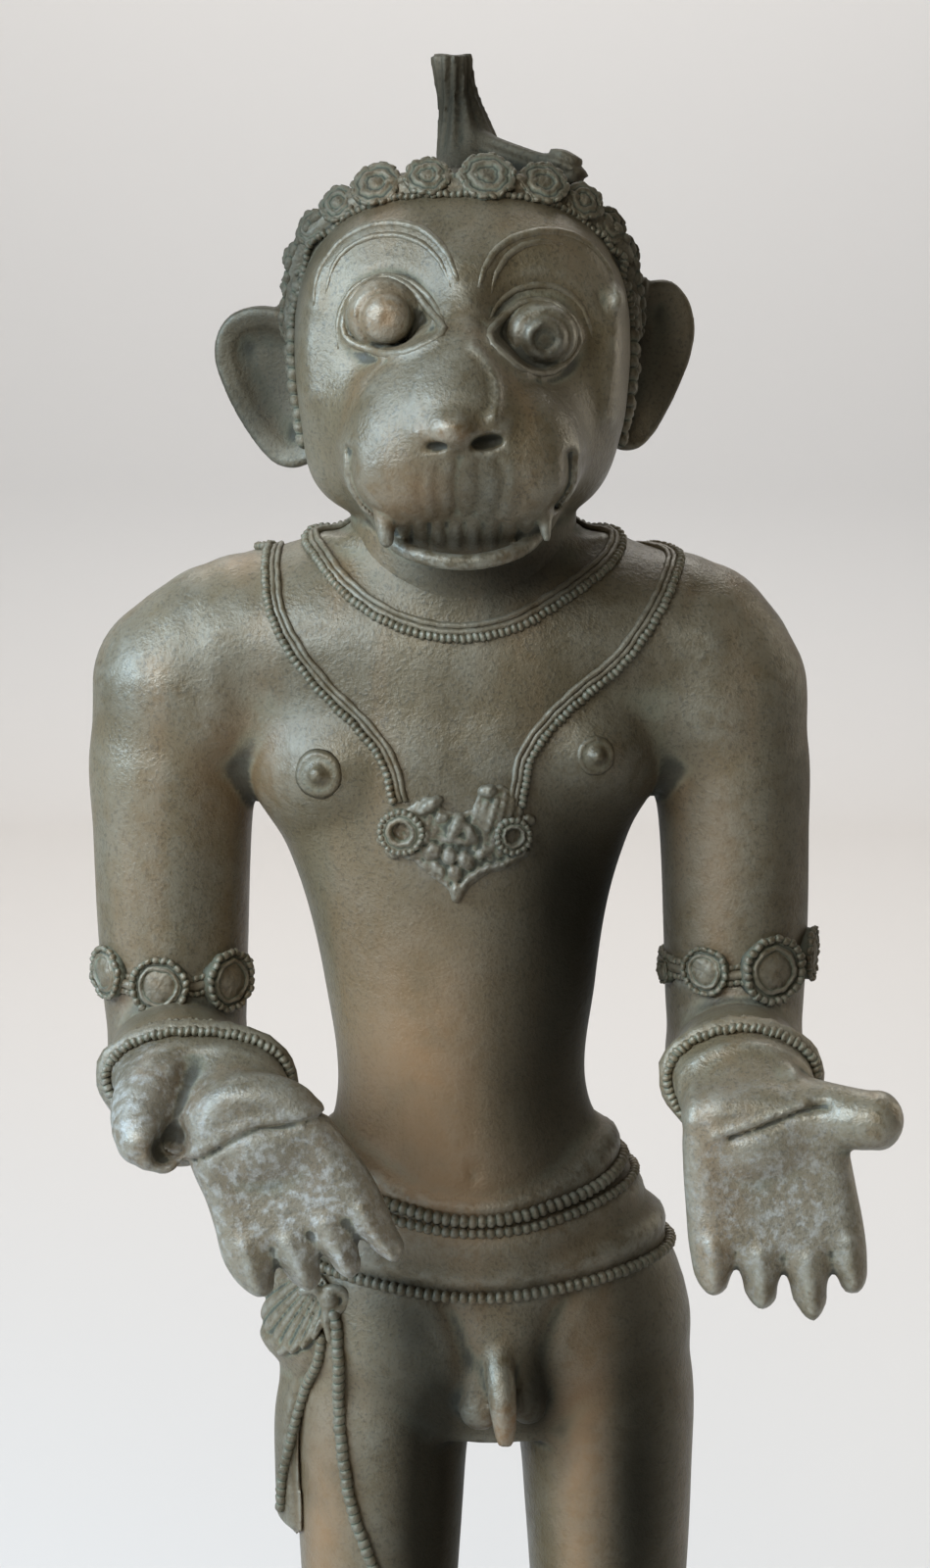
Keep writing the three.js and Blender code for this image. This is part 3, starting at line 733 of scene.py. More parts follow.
def bronze(name, colours, roughness, green):
    """Patinated bronze: a dark skin, warm where hands rub it and where a warm reflection is painted, with
    pale green crust in its hollows, painted shade at their bottoms and in shaded patches, and pale dusty
    blotches that are painted light on the chest.
    """
    material = bpy.data.materials.get(name)
    if material:
        return material
    material = bpy.data.materials.new(name)
    material.use_nodes = True
    nodes, links = material.node_tree.nodes, material.node_tree.links
    nodes.clear()

    def feed(socket, value):
        if isinstance(value, bpy.types.NodeSocket):
            links.new(value, socket)
        else:
            socket.default_value = value

    def node(kind, inputs=None, **settings):
        made = nodes.new("ShaderNode" + kind)
        for key, value in settings.items():
            setattr(made, key, value)
        for key, value in (inputs or {}).items():
            feed(made.inputs[key], value)
        return made

    def maths(operation, a, b=0.0, clamp=False):
        return node("Math", {0: a, 1: b}, operation=operation, use_clamp=clamp).outputs[0]

    def ramp(value, low, high, out_low=0.0, out_high=1.0):
        inputs = {"Value": value, "From Min": low, "From Max": high, "To Min": out_low, "To Max": out_high}
        return node("MapRange", inputs, interpolation_type="SMOOTHSTEP").outputs["Result"]

    def blend(factor, a, b):
        return node("Mix", {0: factor, 6: a, 7: b}, data_type="RGBA").outputs[2]

    place = node("TexCoord").outputs["Object"]

    def noise(scale, detail, rough, distortion=0.0, where=place):
        inputs = {"Vector": where, "Scale": scale, "Detail": detail}
        inputs |= {"Roughness": rough, "Distortion": distortion}
        return node("TexNoise", inputs).outputs["Fac"]

    def wear(key):
        return node("Attribute", attribute_name=key).outputs["Fac"]

    hollow, edge, rubbed, dust, aged = [wear(key) for key in ("hollow", "edge", "rubbed", "dust", "aged")]
    drift = noise(14, 3, 0.5)
    cloud = noise(48, 5, 0.6, 0.4)
    fleck = noise(260, 4, 0.65)
    speck = noise(1100, 3, 0.6)
    upright = node("VectorMath", {0: place, 1: (1.0, 1.0, 0.1)}, operation="MULTIPLY").outputs[0]
    streak = noise(60, 4, 0.5, 0.0, upright)
    colour = blend(ramp(drift, 0.35, 0.65), colours["dark"], colours["skin"])
    colour = blend(ramp(cloud, 0.42, 0.68, 0.0, 0.55), colour, colours["grey"])
    colour = blend(ramp(streak, 0.48, 0.8, 0.0, 0.45), colour, colours["warm"])
    colour = blend(ramp(streak, 0.5, 0.3, 0.0, 0.55), colour, colours["dark"])
    colour = blend(ramp(speck, 0.5, 0.66, 0.0, 0.4), colour, colours["deep"])
    # The warm brown of places that hands rub, and the painted warm reflection on the thighs
    warm = maths("MULTIPLY", rubbed, ramp(cloud, 0.3, 0.62, 0.55, 1.0), True)
    colour = blend(warm, colour, colours["warm"])
    bright = maths("MULTIPLY", edge, ramp(fleck, 0.35, 0.6), True)
    colour = blend(maths("MULTIPLY", bright, 0.45), colour, colours["worn"])
    # Pale dusty blotches, which on the middle of the chest are painted light
    settled = maths("MULTIPLY", ramp(dust, 0.05, 0.9), ramp(noise(430, 5, 0.66), 0.44, 0.68, 0.18, 1.0), True)
    colour = blend(maths("MULTIPLY", settled, 0.8), colour, colours["dust"])
    crust = maths("MULTIPLY", ramp(hollow, 0.12, 0.8), ramp(fleck, 0.3, 0.6, 0.35, 1.0), True)
    colour = blend(maths("MULTIPLY", crust, green), colour, colours["green"])
    # Painted shade: the bottoms of the deepest hollows are darkened
    deep = ramp(hollow, 0.5, 1.0, 0.0, 0.75)
    colour = blend(deep, colour, colours["deep"])
    # Painted shade in the shaded patches, and a darker patina on the hair: blended to the darkest colour
    colour = blend(maths("MULTIPLY", aged, 0.92), colour, colours["deep"])
    rough = ramp(cloud, 0.3, 0.7, roughness - 0.06, roughness + 0.1)
    rough = maths("ADD", rough, maths("MULTIPLY", crust, 0.3))
    rough = maths("ADD", rough, maths("MULTIPLY", settled, 0.12))
    # The shaded patches are rougher and, below, more metallic, so that their dark colour also dims their
    # reflections
    rough = maths("ADD", rough, maths("MULTIPLY", aged, 0.35))
    rough = maths("SUBTRACT", rough, maths("MULTIPLY", bright, 0.08), True)
    metal = maths("SUBTRACT", 0.25, maths("MULTIPLY", maths("MAXIMUM", crust, settled), 0.25))
    metal = maths("ADD", metal, maths("MULTIPLY", aged, 0.6), True)
    relief = maths("ADD", maths("MULTIPLY", fleck, 0.35), maths("MULTIPLY", speck, 0.3))
    relief = maths("ADD", relief, maths("MULTIPLY", cloud, 0.9))
    dent = node("Bump", {"Strength": 0.5, "Distance": 0.0012, "Height": relief}).outputs["Normal"]
    looks = {"Base Color": colour, "Metallic": metal, "Roughness": rough, "Normal": dent}
    shader = node("BsdfPrincipled", looks)
    shader.inputs["Specular IOR Level"].default_value = 0.5
    shader.inputs["Specular Tint"].default_value = (0.84, 0.93, 1.0, 1.0)
    node("OutputMaterial", {"Surface": shader.outputs[0]})
    return material


def palette():
    """The colours of the bronze, as the sockets take them."""
    colours = bpy.context.scene.bronze_colours
    return {key: tuple(getattr(colours, key)) + (1.0,) for key in BronzeColours.__annotations__}


def skin_finish():
    """The smooth, dark bronze of the body."""
    return bronze("smooth_dark_bronze", palette(), 0.43, 0.35)


def trim_finish():
    """The chased bronze of the ornaments, with more green in its hollows."""
    return bronze("chased_green_bronze", palette(), 0.5, 0.75)


# The body's forms, shared by the pieces that meet

# The trunk: height, middle across and deep, half width, depth to the front and to the back, in hundredths
TRUNK = [
    (43.4, 1.3, 0.3, 5.4, 4, 4),
    (46.8, 0.8, 0.4, 8.7, 5.7, 5.7),
    (49.8, 0.7, 0.3, 8.5, 5.6, 5.7),
    (53, 0.5, 0.1, 7.1, 5.2, 5),
    (57.4, 0, -0.2, 5.25, 4.5, 4.1),
    (62.3, -0.1, -0.2, 5.6, 4.7, 4.5),
    (66.6, -0.25, -0.2, 6.45, 5, 5),
    (70.5, -0.35, -0.1, 7.95, 5.4, 5.6),
    (74.3, -0.3, 0.1, 9.6, 5.2, 5.5),
    (77.8, -0.1, 0.3, 9.4, 4.2, 4.6),
    (80.4, 0.1, 0.4, 5.6, 3.4, 3.4),
]
# The hip belts and the torque round the neck: heights in millimetres at the front, the sides and the back
UPPER_BELT = (368.2, 379.2, 383.6)
LOWER_BELT = (351.6, 358.8, 362.4)
PLAIN_BAND = (357.4, 367.6, 372)
UPPER_RIBS = ((366, 374.6, 377.6), (362.7, 370.4, 373.4))
LOWER_RIBS = (346.8, 351.8, 356)
COLLAR = (507, 520, 525)
# The middles of the hips and of the neck, and how far out guide points for lines round the hips lie
HIP_CENTRE = (3.6, 0.6)
NECK_CENTRE = (0, -2.4)
HIP_REACH = 78
# Guide points for the line of the torque, before and behind
TORQUE_FRONT = [
    (-36.6, -4, 530.2), (-34.2, -8, 525.4), (-28.4, -16, 518.9), (-21.3, -22, 514), (-12.3, -26, 510.4),
    (-4.5, -28, 509), (3.4, -28.5, 509.2), (12, -26.5, 511), (20.6, -21, 515), (28.6, -15, 519.6),
    (35.6, -8, 525), (37.4, -4, 529.6),
]
TORQUE_BACK = [
    (35, 12, 560), (30, 32, 556), (16, 48, 552), (0, 54, 550), (-16, 48, 552), (-30, 32, 556),
    (-35, 12, 560),
]
NECK = [at(0, 0.3, 75), at(0, -0.2, 79.4), at(0.1, -0.7, 84)]
# The arms: height, middle across and deep, half width, depths to the front and the back
ARM_ROWS = {
    "right": [
        (499, -69.5, 1, 15, 15, 15),
        (489, -70.6, 1, 19.2, 19, 19),
        (478, -71.4, 1, 20.6, 20.5, 20),
        (456, -72, 1.2, 19.6, 19.5, 19),
        (430, -72.2, 2, 18.7, 18.5, 18),
        (412, -72, 3, 17.8, 18, 17.5),
        (398, -71.6, 3.6, 16.6, 16.6, 16.6),
    ],
    "left": [
        (499, 64.5, 1, 14, 15, 15),
        (489, 65, 1, 18.4, 19, 19),
        (478, 66, 1, 19.4, 20, 19.5),
        (456, 67.4, 1.2, 18.5, 19, 18.5),
        (430, 68.1, 2, 17.9, 18, 17.5),
        (412, 68.2, 3, 17.2, 17.5, 17),
        (398, 68.4, 3.6, 16.2, 16.2, 16.2),
    ],
}
SHOULDERS = {
    "right": ([(-69, 1, 493.4), (-58, 1.5, 502.5), (-45, 2, 508), (-20, 2, 511.5)], [22, 21, 19, 17]),
    "left": ([(63.8, 1, 492), (57, 1.5, 502), (45, 2, 508), (20, 2, 511.5)], [21, 21.3, 19, 17]),
}
# The upper arms and the forearms meet under the armlets, where each laps past this height
ARM_JOINT = level(62.5)
LAP = 0.6
# The nipples' profile: share of their size, height, how hollow
NIPPLE = [
    (1, -0.35, 0.05), (0.88, -0.12, 0.05), (0.78, -0.2, 0.5), (0.5, 0.25, 0.15), (0.34, 1.3, 0.05),
    (0.22, 2.1, 0), (0.05, 2.3, 0),
]


def girdle(centre, heights, x, y):
    """The height of a ring round the body, which differs at the front, the sides and the back."""
    front, side, back = heights
    ahead = (y - centre[1]) / (np.hypot(x - centre[0], y - centre[1]) + 1e-6)
    end = np.where(ahead < 0, front, back)
    return side + (end - side) * ahead * ahead


def hip_ring(clay, heights):
    """A closed line round the hips, laid on the clay."""
    angle = once_round(RING_POINTS)
    x = HIP_CENTRE[0] + HIP_REACH * np.sin(angle)
    y = HIP_CENTRE[1] - HIP_REACH * np.cos(angle)
    z = girdle(HIP_CENTRE, heights, x, y)
    inner = np.column_stack([np.full(RING_POINTS, HIP_CENTRE[0]), np.full(RING_POINTS, HIP_CENTRE[1]), z])
    return clay.meet(np.column_stack([x, y, z]), inner)


def in_millimetres(rows):
    """Sections for a loft from rows in hundredths of the figure's height."""
    return [(level(row[0]), *(HUNDREDTH * size for size in row[1:])) for row in rows]


def shape_trunk(clay):
    """The trunk with the seat behind it."""
    clay.add(loft(in_millimetres(TRUNK)), 3)
    for x in (-2.6, 4.8):
        clay.add(egg(at(x, 3, 46.4), (25.8, 25.2, 26.4)), 9)


def armpit_fillet(x, y, z):
    """The fillet between the arms and the chest, which is wide above the armpits and narrow below."""
    return 3.4 + 9.6 * step_up(z, 462, 488) * (1 - step_up(np.abs(x), 58, 72))


def spine_relief(x, y, z):
    """The hollow line down the back."""
    spine = bump(x - 0.5, 5.5, 1) * step_up(z, 372, 392) * (1 - step_up(z, 500, 520))
    return -1.9 * spine * step_up(y, 4, 10)


def belly_relief(x, y, z):
    """The navel, and the hollow lines above it and between the breasts."""
    navel = bump(np.hypot(x - 2.9, (z - 377.2) / 1.7), 1.3, 1.1)
    middle = bump(x - 2.4, 1.4, 0.3) * step_up(z, 380, 386) * (1 - step_up(z, 396, 408))
    breast = bump(x + 0.5, 7, 0.6) * step_up(z, 450, 462) * (1 - step_up(z, 486, 500))
    return -(navel + middle + breast) * (1 - step_up(y, -12, -4))


def shape_torso():
    """The trunk, the shoulders and the arms down to the armlets."""
    clay = Clay((-106, -62, 326), (104, 48, 560), bpy.context.scene.bronze_sizes.body_step)
    shape_trunk(clay)
    for x, z in ((-32, 475), (29.6, 479)):
        clay.add(egg((x, -8, z), (19.5, 18.6, 16.5)), 8)
        clay.add(egg((x, -18.6, z), (9.5, 10.9, 8.5)), 8)
    for side in ("right", "left"):
        clay.add(loft(ARM_ROWS[side]), armpit_fillet)
        clay.add(chain(*SHOULDERS[side], 8), armpit_fillet)
    clay.add(egg((-2, -8, 505), (50, 19, 16)), 12)
    clay.add(chain(NECK, [20.4, 25.9, 26.2]), 6)
    for x in (-26, 25):
        clay.add(egg((x, 20, 488), (22, 15, 27)), 12)
    clay.emboss((-20, 4, 365), (20, 48, 522), spine_relief)
    clay.emboss((-20, -62, 360), (20, -4, 505), belly_relief)
    return clay


def torque_line(clay):
    """The closed line of the torque round the neck, laid on the clay."""
    ahead, ahead_out = clay.seen(TORQUE_FRONT)
    behind, behind_out = clay.meet(TORQUE_BACK, np.array(TORQUE_BACK) * (0.55, 0.3, 1) - (0, 0, 40))
    ring = np.column_stack([np.vstack([ahead, behind]), np.vstack([ahead_out, behind_out])])
    ring = walk(ring, 90, True)
    return clay.meet(ring[:, :3], ring[:, :3] - ring[:, 3:])


def belt_cores(clay):
    """The plain rolls of both belts and of the band between them, thinner or thicker at the sides."""
    angle = once_round(RING_POINTS)
    sides = np.where(np.cos(angle) > 0, step_up(np.abs(np.sin(angle)), 0.45, 0.92), 0.7)
    for name, front, side, share, lift, blend in (
        ("band", 5.2, 3.6, 0.72, 0.4, 5.0),
        ("upper", 1.5, 5.6, 0.6, 1.1, 2.2),
        ("lower", 2.2, 5.2, 0.6, 1.1, 2.5),
    ):
        points, normals = made("hip_rings")[name]
        radii = front + (side - front) * sides
        sunk = (share * radii - lift)[:, None]
        clay.add(chain(points - sunk * normals, radii, 56, closed=True), blend)


def breast_points(clay):
    """The nipples, each a small boss on a ringed disc."""
    trim = Trim()
    for guide, size in (((-34.4, -31, 475.5), 5.2), ((31.8, -31, 480.0), 4.3)):
        spot, out = clay.seen([guide])
        trim.turned(spot[0], out[0], [(size + 0.9, -1.4, 0.1), *sized(NIPPLE, size)], 32)
    trim.finish("nipples", skin_finish(), 0.05)


class BRONZE_OT_sculpt_torso(bpy.types.Operator):
    """Models the trunk, the shoulders and the upper arms."""

    bl_idname = "bronze.sculpt_torso"
    bl_label = "Torso"

    def execute(self, context):
        clay = shape_torso()
        models["torso"] = clay.twin()
        models["hip_rings"] = {
            name: hip_ring(clay, heights)
            for name, heights in (("upper", UPPER_BELT), ("band", PLAIN_BAND), ("lower", LOWER_BELT))
        }
        models["torque"] = torque_line(clay)
        belt_cores(clay)
        models["dressed_torso"] = clay.twin()

        def inside(x, y, z):
            below = girdle(HIP_CENTRE, LOWER_RIBS, x, y) - 0.8 - z
            arm = np.where((np.abs(x) > 44) & (z > 392), ARM_JOINT - LAP - z, -FAR)
            return np.maximum(below, arm)

        clay.keep(inside)
        cast(clay, "torso", skin_finish())
        breast_points(models["torso"])
        return {"FINISHED"}


# Each leg's place across and how far it leans out at the knee, in hundredths
LEGS = {"right": (-3.4, -0.1), "left": (6.0, 0.15)}


def leg_rows(x, lean):
    """The sections of a leg, from the hip to the ankle, in the columns of the trunk's."""
    return [
        (49, x, 0.3, 3, 3.6, 3.6),
        (45.4, x, 0.2, 3.75, 4.2, 4.2),
        (41, x + lean, 0, 3.6, 4.0, 4.0),
        (36.5, x + lean * 1.5, -0.1, 3.35, 3.7, 3.7),
        (30, x + lean * 1.4, 0, 2.85, 3.15, 3.0),
        (26.5, x + lean * 1.2, -0.1, 2.5, 2.8, 2.7),
        (23.5, x + lean, -0.2, 2.4, 2.6, 2.4),
        (21, x + lean * 0.8, 0.1, 2.2, 2.4, 2.4),
        (17, x + lean * 0.5, 0.5, 2.35, 2.35, 2.9),
        (10, x, 0.9, 1.85, 2.0, 2.1),
        (4, x - lean, 0.9, 1.6, 1.85, 1.9),
        (1.4, x - lean, 0.9, 1.8, 2.1, 2.1),
    ]


def shape_foot(clay, x, side):
    """A bare foot with its ankles, toes and nails. The side is the way to its little toe."""
    sole = [at(x, 2.6, 1.5), at(x, 0.5, 1.7), at(x + side * 0.1, -2.8, 1.15), at(x + side * 0.15, -5.2, 0.85)]
    clay.add(chain(sole, [9, 9.6, 11.2, 11.6], 8, (0, 0, 1), 0.72), 3)
    clay.add(chain([at(x, 0.9, 4), at(x + side * 0.1, -1.6, 2.4), at(x, -4, 1.5)], [9.6, 8.5, 7.5]), 6)
    for sign in (-1, 1):
        clay.add(egg(at(x + sign * 1.6, 1, 3), (4, 5, 4.5)), 4)
    for i in range(5):
        across = x - side * (1.75 - i * 0.86)
        big = i == 0
        radius = 4.4 if big else 3.1 - 0.12 * i
        reach = -7.5 + i * 0.28
        points = [at(across, -4.6, 0.85), at(across, -6.2, 0.95), at(across, reach, 0.72)]
        clay.add(chain(points, [radius, radius * 0.92, radius], 5), 1.2)
        nail = np.array(at(across, reach - 0.28, 0.72)) + (0, 0, 0.72 * radius)
        clay.add(egg(nail, (0.6 * radius, 2.4, 0.9), (-16, 0, 0)), 0.5)


def groin_relief(x, y, z):
    """The creases where the thighs begin."""
    lines = ([(-5, 347), (-1.4, 339), (2, 329)], [(26, 347), (21.4, 338), (18.2, 329)])
    return -sum(bump(stroke(line, 16)(x, z), 3, 1.5) for line in lines) * (y < -8)


def shape_loins(clay):
    """The bare loins between the thighs."""
    clay.add(egg((9.4, -20, 334), (11, 9.5, 10)), 8)
    clay.emboss((-14, -48, 318), (34, -8, 352), groin_relief)
    clay.add(chain([(6.8, -25, 341), (5.2, -28, 330), (4.3, -30, 317.8)], [2.8, 4.2, 5.2]), 1.4)
    clay.add(chain([(14, -25, 340), (15.4, -28, 330), (16, -29.5, 318.6)], [2.6, 4, 4.7]), 1.4)
    end = [(8.6, -29, 335), (9.2, -34.5, 328), (9.9, -38, 320), (10.4, -38.5, 313.6)]
    clay.add(chain(end, [3.2, 3.6, 3.3, 2.5]), 1.8)


class BRONZE_OT_sculpt_legs(bpy.types.Operator):
    """Models the hips, the legs and the feet."""

    bl_idname = "bronze.sculpt_legs"
    bl_label = "Legs and feet"

    def execute(self, context):
        clay = Clay((-64, -56, SOLE - 6), (78, 48, 378), context.scene.bronze_sizes.leg_step)
        shape_trunk(clay)
        for side, (x, lean) in LEGS.items():
            clay.add(loft(in_millimetres(leg_rows(x, lean))), 3.5)
            knee = at(x + lean, -1.9, 23.6)
            clay.add(egg(knee, (9.5, 5.4, 10)), 6)
            clay.add(egg((knee[0], knee[1] + 4, knee[2] - 17), (6, 4.5, 9)), 7)
            for sign in (-1, 1):
                clay.add(egg(at(x + sign * 0.95, 1.9, 17.2), (8, 7, 18)), 8)
            shape_foot(clay, x + (-0.2 if side == "right" else 0.1), -1 if side == "right" else 1)
        belt_cores(clay)
        shape_loins(clay)
        clay.keep(lambda x, y, z: np.maximum(z - girdle(HIP_CENTRE, LOWER_RIBS, x, y) - 0.8, SOLE - z))
        cast(clay, "hips_and_legs", skin_finish())
        models["legs"] = clay
        return {"FINISHED"}


# The head

# The opening of each eye, the folds over it and the two lines of its brow, as places (x, z)
LIDS = {
    "left": [
        (-26.2, 579), (-25.6, 584.6), (-22.6, 589.2), (-17.8, 591.2), (-13, 589.2), (-9.4, 585),
        (-5.4, 579.8), (-9, 577.8), (-13, 576.4), (-17.6, 576), (-22.4, 576.8),
    ],
    "right": [
        (7.4, 578.6), (10.4, 582.4), (14.6, 585.4), (19.6, 585.6), (23.8, 582.8), (26, 578), (24, 574),
        (20.2, 571.6), (15.6, 571.8), (11, 574.8),
    ],
}
LOWER_FOLD = {
    "left": [
        (-28.6, 575.6), (-28.4, 583.6), (-25, 589.4), (-17.8, 592.4), (-10.6, 590.2), (-6, 585),
        (-3.6, 579),
    ],
    "right": [(6.2, 582.4), (9, 586.8), (14.6, 589.8), (21.2, 589.8), (27, 586), (30, 578.2)],
}
UPPER_FOLD = {
    "left": [(-22.8, 594), (-16.8, 595.6), (-11.2, 594), (-6.6, 589.4), (-3.4, 584.2)],
    "right": [(6.4, 586.6), (10.2, 590.6), (15.4, 593), (22, 593), (28.6, 589.2), (32, 582.4)],
}
UPPER_BROW = {
    "left": [
        (-34.2, 585.5), (-33.4, 592), (-30, 598), (-24, 602.6), (-16, 604.4), (-9, 602.6), (-4, 598),
        (-1, 591),
    ],
    "right": [
        (3.8, 589.6), (5.4, 594.8), (9.2, 599.4), (14.9, 601.8), (21.4, 602.4), (28, 600.2),
        (33.2, 594.6), (36.2, 586.5),
    ],
}
LOWER_BROW = {
    "left": [
        (-31.4, 588), (-29.6, 594.6), (-24.8, 599.4), (-17, 601.6), (-9.6, 599.8), (-5.2, 595.6),
        (-2.6, 589.8),
    ],
    "right": [(6.6, 588.4), (8.2, 593.8), (11.8, 598), (17.2, 600), (23, 599.4)],
}
# Creases beside the mouth and on the cheeks: line, depth and width
CREASES = (
    ([(-25.6, 553), (-25.2, 547), (-22.8, 541.4), (-18.4, 537.6)], 1.5, 1.1),
    ([(24.4, 552), (24.2, 545.6), (21.2, 540)], 2.2, 1.3),
    ([(-28.4, 552), (-27.8, 545.5), (-25.2, 540)], 0.7, 0.9),
    ([(27.4, 551), (26.8, 544.6), (24, 539.4)], 0.8, 0.9),
)
# Wrinkles of the upper lip: line and depth
WRINKLES = (
    ([(-9.2, 548), (-9.8, 543.5), (-8.8, 539)], 0.25),
    ([(-5.2, 551), (-6, 545.5), (-5.3, 539.2)], 0.35),
    ([(-0.6, 552), (-1.4, 546), (-1.2, 539.4)], 0.45),
    ([(3.6, 551.5), (3.8, 545), (3, 539)], 0.35),
    ([(8, 552), (9.2, 546), (7.6, 539)], 0.45),
    ([(12.4, 549), (13.4, 544), (12, 539.4)], 0.25),
)
EAR_LEFT = [
    (-36, 581), (-42, 584), (-47, 585.2), (-52.4, 584.8), (-56.8, 582.7), (-60, 577.6), (-60.4, 572.4),
    (-58.3, 565.7), (-55.4, 559.6), (-51.8, 553.9), (-48.4, 549.6), (-45.3, 547), (-40.6, 546.2),
    (-36.5, 548), (-33, 556), (-32, 568),
]
EAR_RIGHT = [
    (34, 586), (40, 589.6), (45.2, 591.2), (50.4, 591.2), (54.4, 587.4), (56.4, 581), (55.6, 573.5),
    (53, 566.5), (49.2, 558.8), (46, 553.8), (42.6, 550.8), (38, 550.6), (34, 556), (31, 566), (31, 577),
]
LOWER_LIP = [
    (-18.4, -38.5, 533.6), (-14.4, -45, 530.6), (-7.4, -49.6, 528.4), (0.4, -51, 527.6),
    (8.2, -49.6, 528.6), (15, -44.5, 531), (18.6, -38.5, 534),
]
SKULL = np.array([0.0, 2.0, 579.0])
TUFT = [
    (2, 8, 606), (2.4, 9, 614), (1.6, 10, 621), (0.3, 11, 628.5), (-1.1, 12, 635), (-2.1, 12, 640),
    (-2.7, 12, 647),
]
LOCK = [(1, 8, 627), (6.4, 5, 622.4), (13, 1, 619.6), (20, -3, 618.4), (24.4, -5, 618.6), (26.6, -6, 616.2)]
HAIR_TOP = 645.2
# The middles of the irises, with the radius of the ring, the pupil's radius and its depth
IRISES = ((-17.2, 582.6, 6.3, 1.5, 0.3), (18.9, 578, 5.6, 2.9, 1.5))


def face_relief(x, y, z):
    """Eye sockets, lids, folds and brows, raised or cut from the front."""
    height = np.zeros(np.broadcast_shapes(x.shape, z.shape), np.float32)
    for cx, cz in ((-17.2, 584.0), (17.8, 581.0)):
        height -= 1.7 * np.exp(-((((x - cx) / 15.5) ** 2 + ((z - cz) / 14.5) ** 2) ** 2))
    for side in ("left", "right"):
        opening = outline(LIDS[side], 90)(x, z)
        height -= 0.9 * (1 - step_up(opening, -1.2, 0.2))
        height += bump(opening - 1, 1.1, 1.1)
        height += bump(stroke(UPPER_FOLD[side])(x, z), 1.3, 0.3)
        height += bump(stroke(UPPER_BROW[side])(x, z), 2.4, 0.6)
    temples = np.zeros_like(height)
    for line, size in (
        ([(-35, 594), (-36.6, 586), (-36.8, 576), (-36, 566)], 1.1),
        ([(36.4, 588), (36, 580), (35.2, 570), (34.6, 560)], 1.4),
    ):
        temples += bump(stroke(line)(x, z), 3, size)
    temples += bump(np.hypot(x - 37.4, (z - 587.5) / 1.6), 2, 1.6)
    return height * (1 - step_up(y, -28, -7)) + temples * (1 - step_up(y, -30, -14))


def muzzle_relief(x, y, z):
    """Creases beside the mouth, the wrinkled lip and the lines round the nose."""
    height = np.zeros(np.broadcast_shapes(x.shape, z.shape), np.float32)
    for line, depth, width in CREASES:
        height -= bump(stroke(line, 24)(x, z), width, depth)
    for line, depth in WRINKLES:
        height -= bump(stroke(line, 18)(x, z), 0.9, depth)
    right_wing = stroke([(2.2, 577.0), (5.6, 573.4), (7.9, 568.6), (8.0, 564.4), (6.9, 560.6)], 24)(x, z)
    left_wing = stroke([(-7.8, 573.4), (-10.2, 569.4), (-10.6, 564.6), (-9.2, 560.4)], 24)(x, z)
    height += bump(right_wing, 0.9, 0.8) + bump(left_wing, 1, 0.15)
    return height * (1 - step_up(y, -46, -33))


def iris_relief(x, y, z):
    """The engraved ring of each iris round its sunk pupil."""
    height = 0
    for across, up, ring, pupil, deep in IRISES:
        away = np.hypot(x - across, z - up)
        near = (np.abs(x - across) < 9) & (np.abs(z - up) < 9)
        height -= (bump(away - ring, 0.7, 0.85) + deep * (1 - step_up(away, pupil - 0.8, pupil + 0.6))) * near
    return height * (y < -36)


def teeth_relief(x, y, z):
    """The row of small teeth under the lip."""
    row = step_up(z, 529.5, 531) * (1 - step_up(z, 536.4, 537.6))
    return row * (0.9 * np.abs(np.sin(np.pi * (x - 0.6) / 4.1)) ** 0.7 - 0.6) * (y < -34)


def ear_shape(points, middle, turn):
    """A cupped ear: its outline as seen from the front, about a middle, turned out by an angle."""
    middle = np.array(middle, float)
    angle = math.radians(turn)
    rim = outline([((p[0] - middle[0]) / math.cos(angle), p[1] - middle[2]) for p in points], 80)
    low = np.array([min(p[0] for p in points) - 2, middle[1] - 18, min(p[1] for p in points) - 2])
    high = np.array([max(p[0] for p in points) + 2, middle[1] + 18, max(p[1] for p in points) + 2])

    def distance(x, y, z):
        u = (x - middle[0]) * math.cos(angle) + (y - middle[1]) * math.sin(angle)
        w = -(x - middle[0]) * math.sin(angle) + (y - middle[1]) * math.cos(angle)
        v = z - middle[2]
        edge = rim(u, v)
        inward = np.clip(-edge, 0, 16)
        cup = bump(inward - 1.2, 1.3, 0.25) - 3.0 * step_up(inward, 1.6, 10) + bump(inward - 4.6, 0.8, 0.25)
        back = 1.9 + 2.6 * step_up(inward, 0, 9)
        slab = np.maximum(-1.7 - cup - w, w - back)
        corner = np.hypot(np.clip(slab + 1.5, 0, None), np.clip(edge + 1.5, 0, None)) - 1.5
        return np.where((slab > -1.5) & (edge > -1.5), corner, np.maximum(slab, edge))

    return low, high, distance


def crown_line(reach=88, count=37):
    """Guide points of the hair band, which runs from ear to ear over the brow, out to an angle each side."""
    angle = np.radians(np.linspace(-reach, reach, count))
    tilt = np.radians(10 + 25 * np.cos(angle) * np.abs(np.cos(angle)))
    lean = np.where(np.abs(angle) > math.pi / 2, np.radians(12), tilt)
    aim = np.column_stack([np.sin(angle) * np.cos(lean), -np.sin(lean), np.cos(angle) * np.cos(lean)])
    return SKULL + 90 * aim


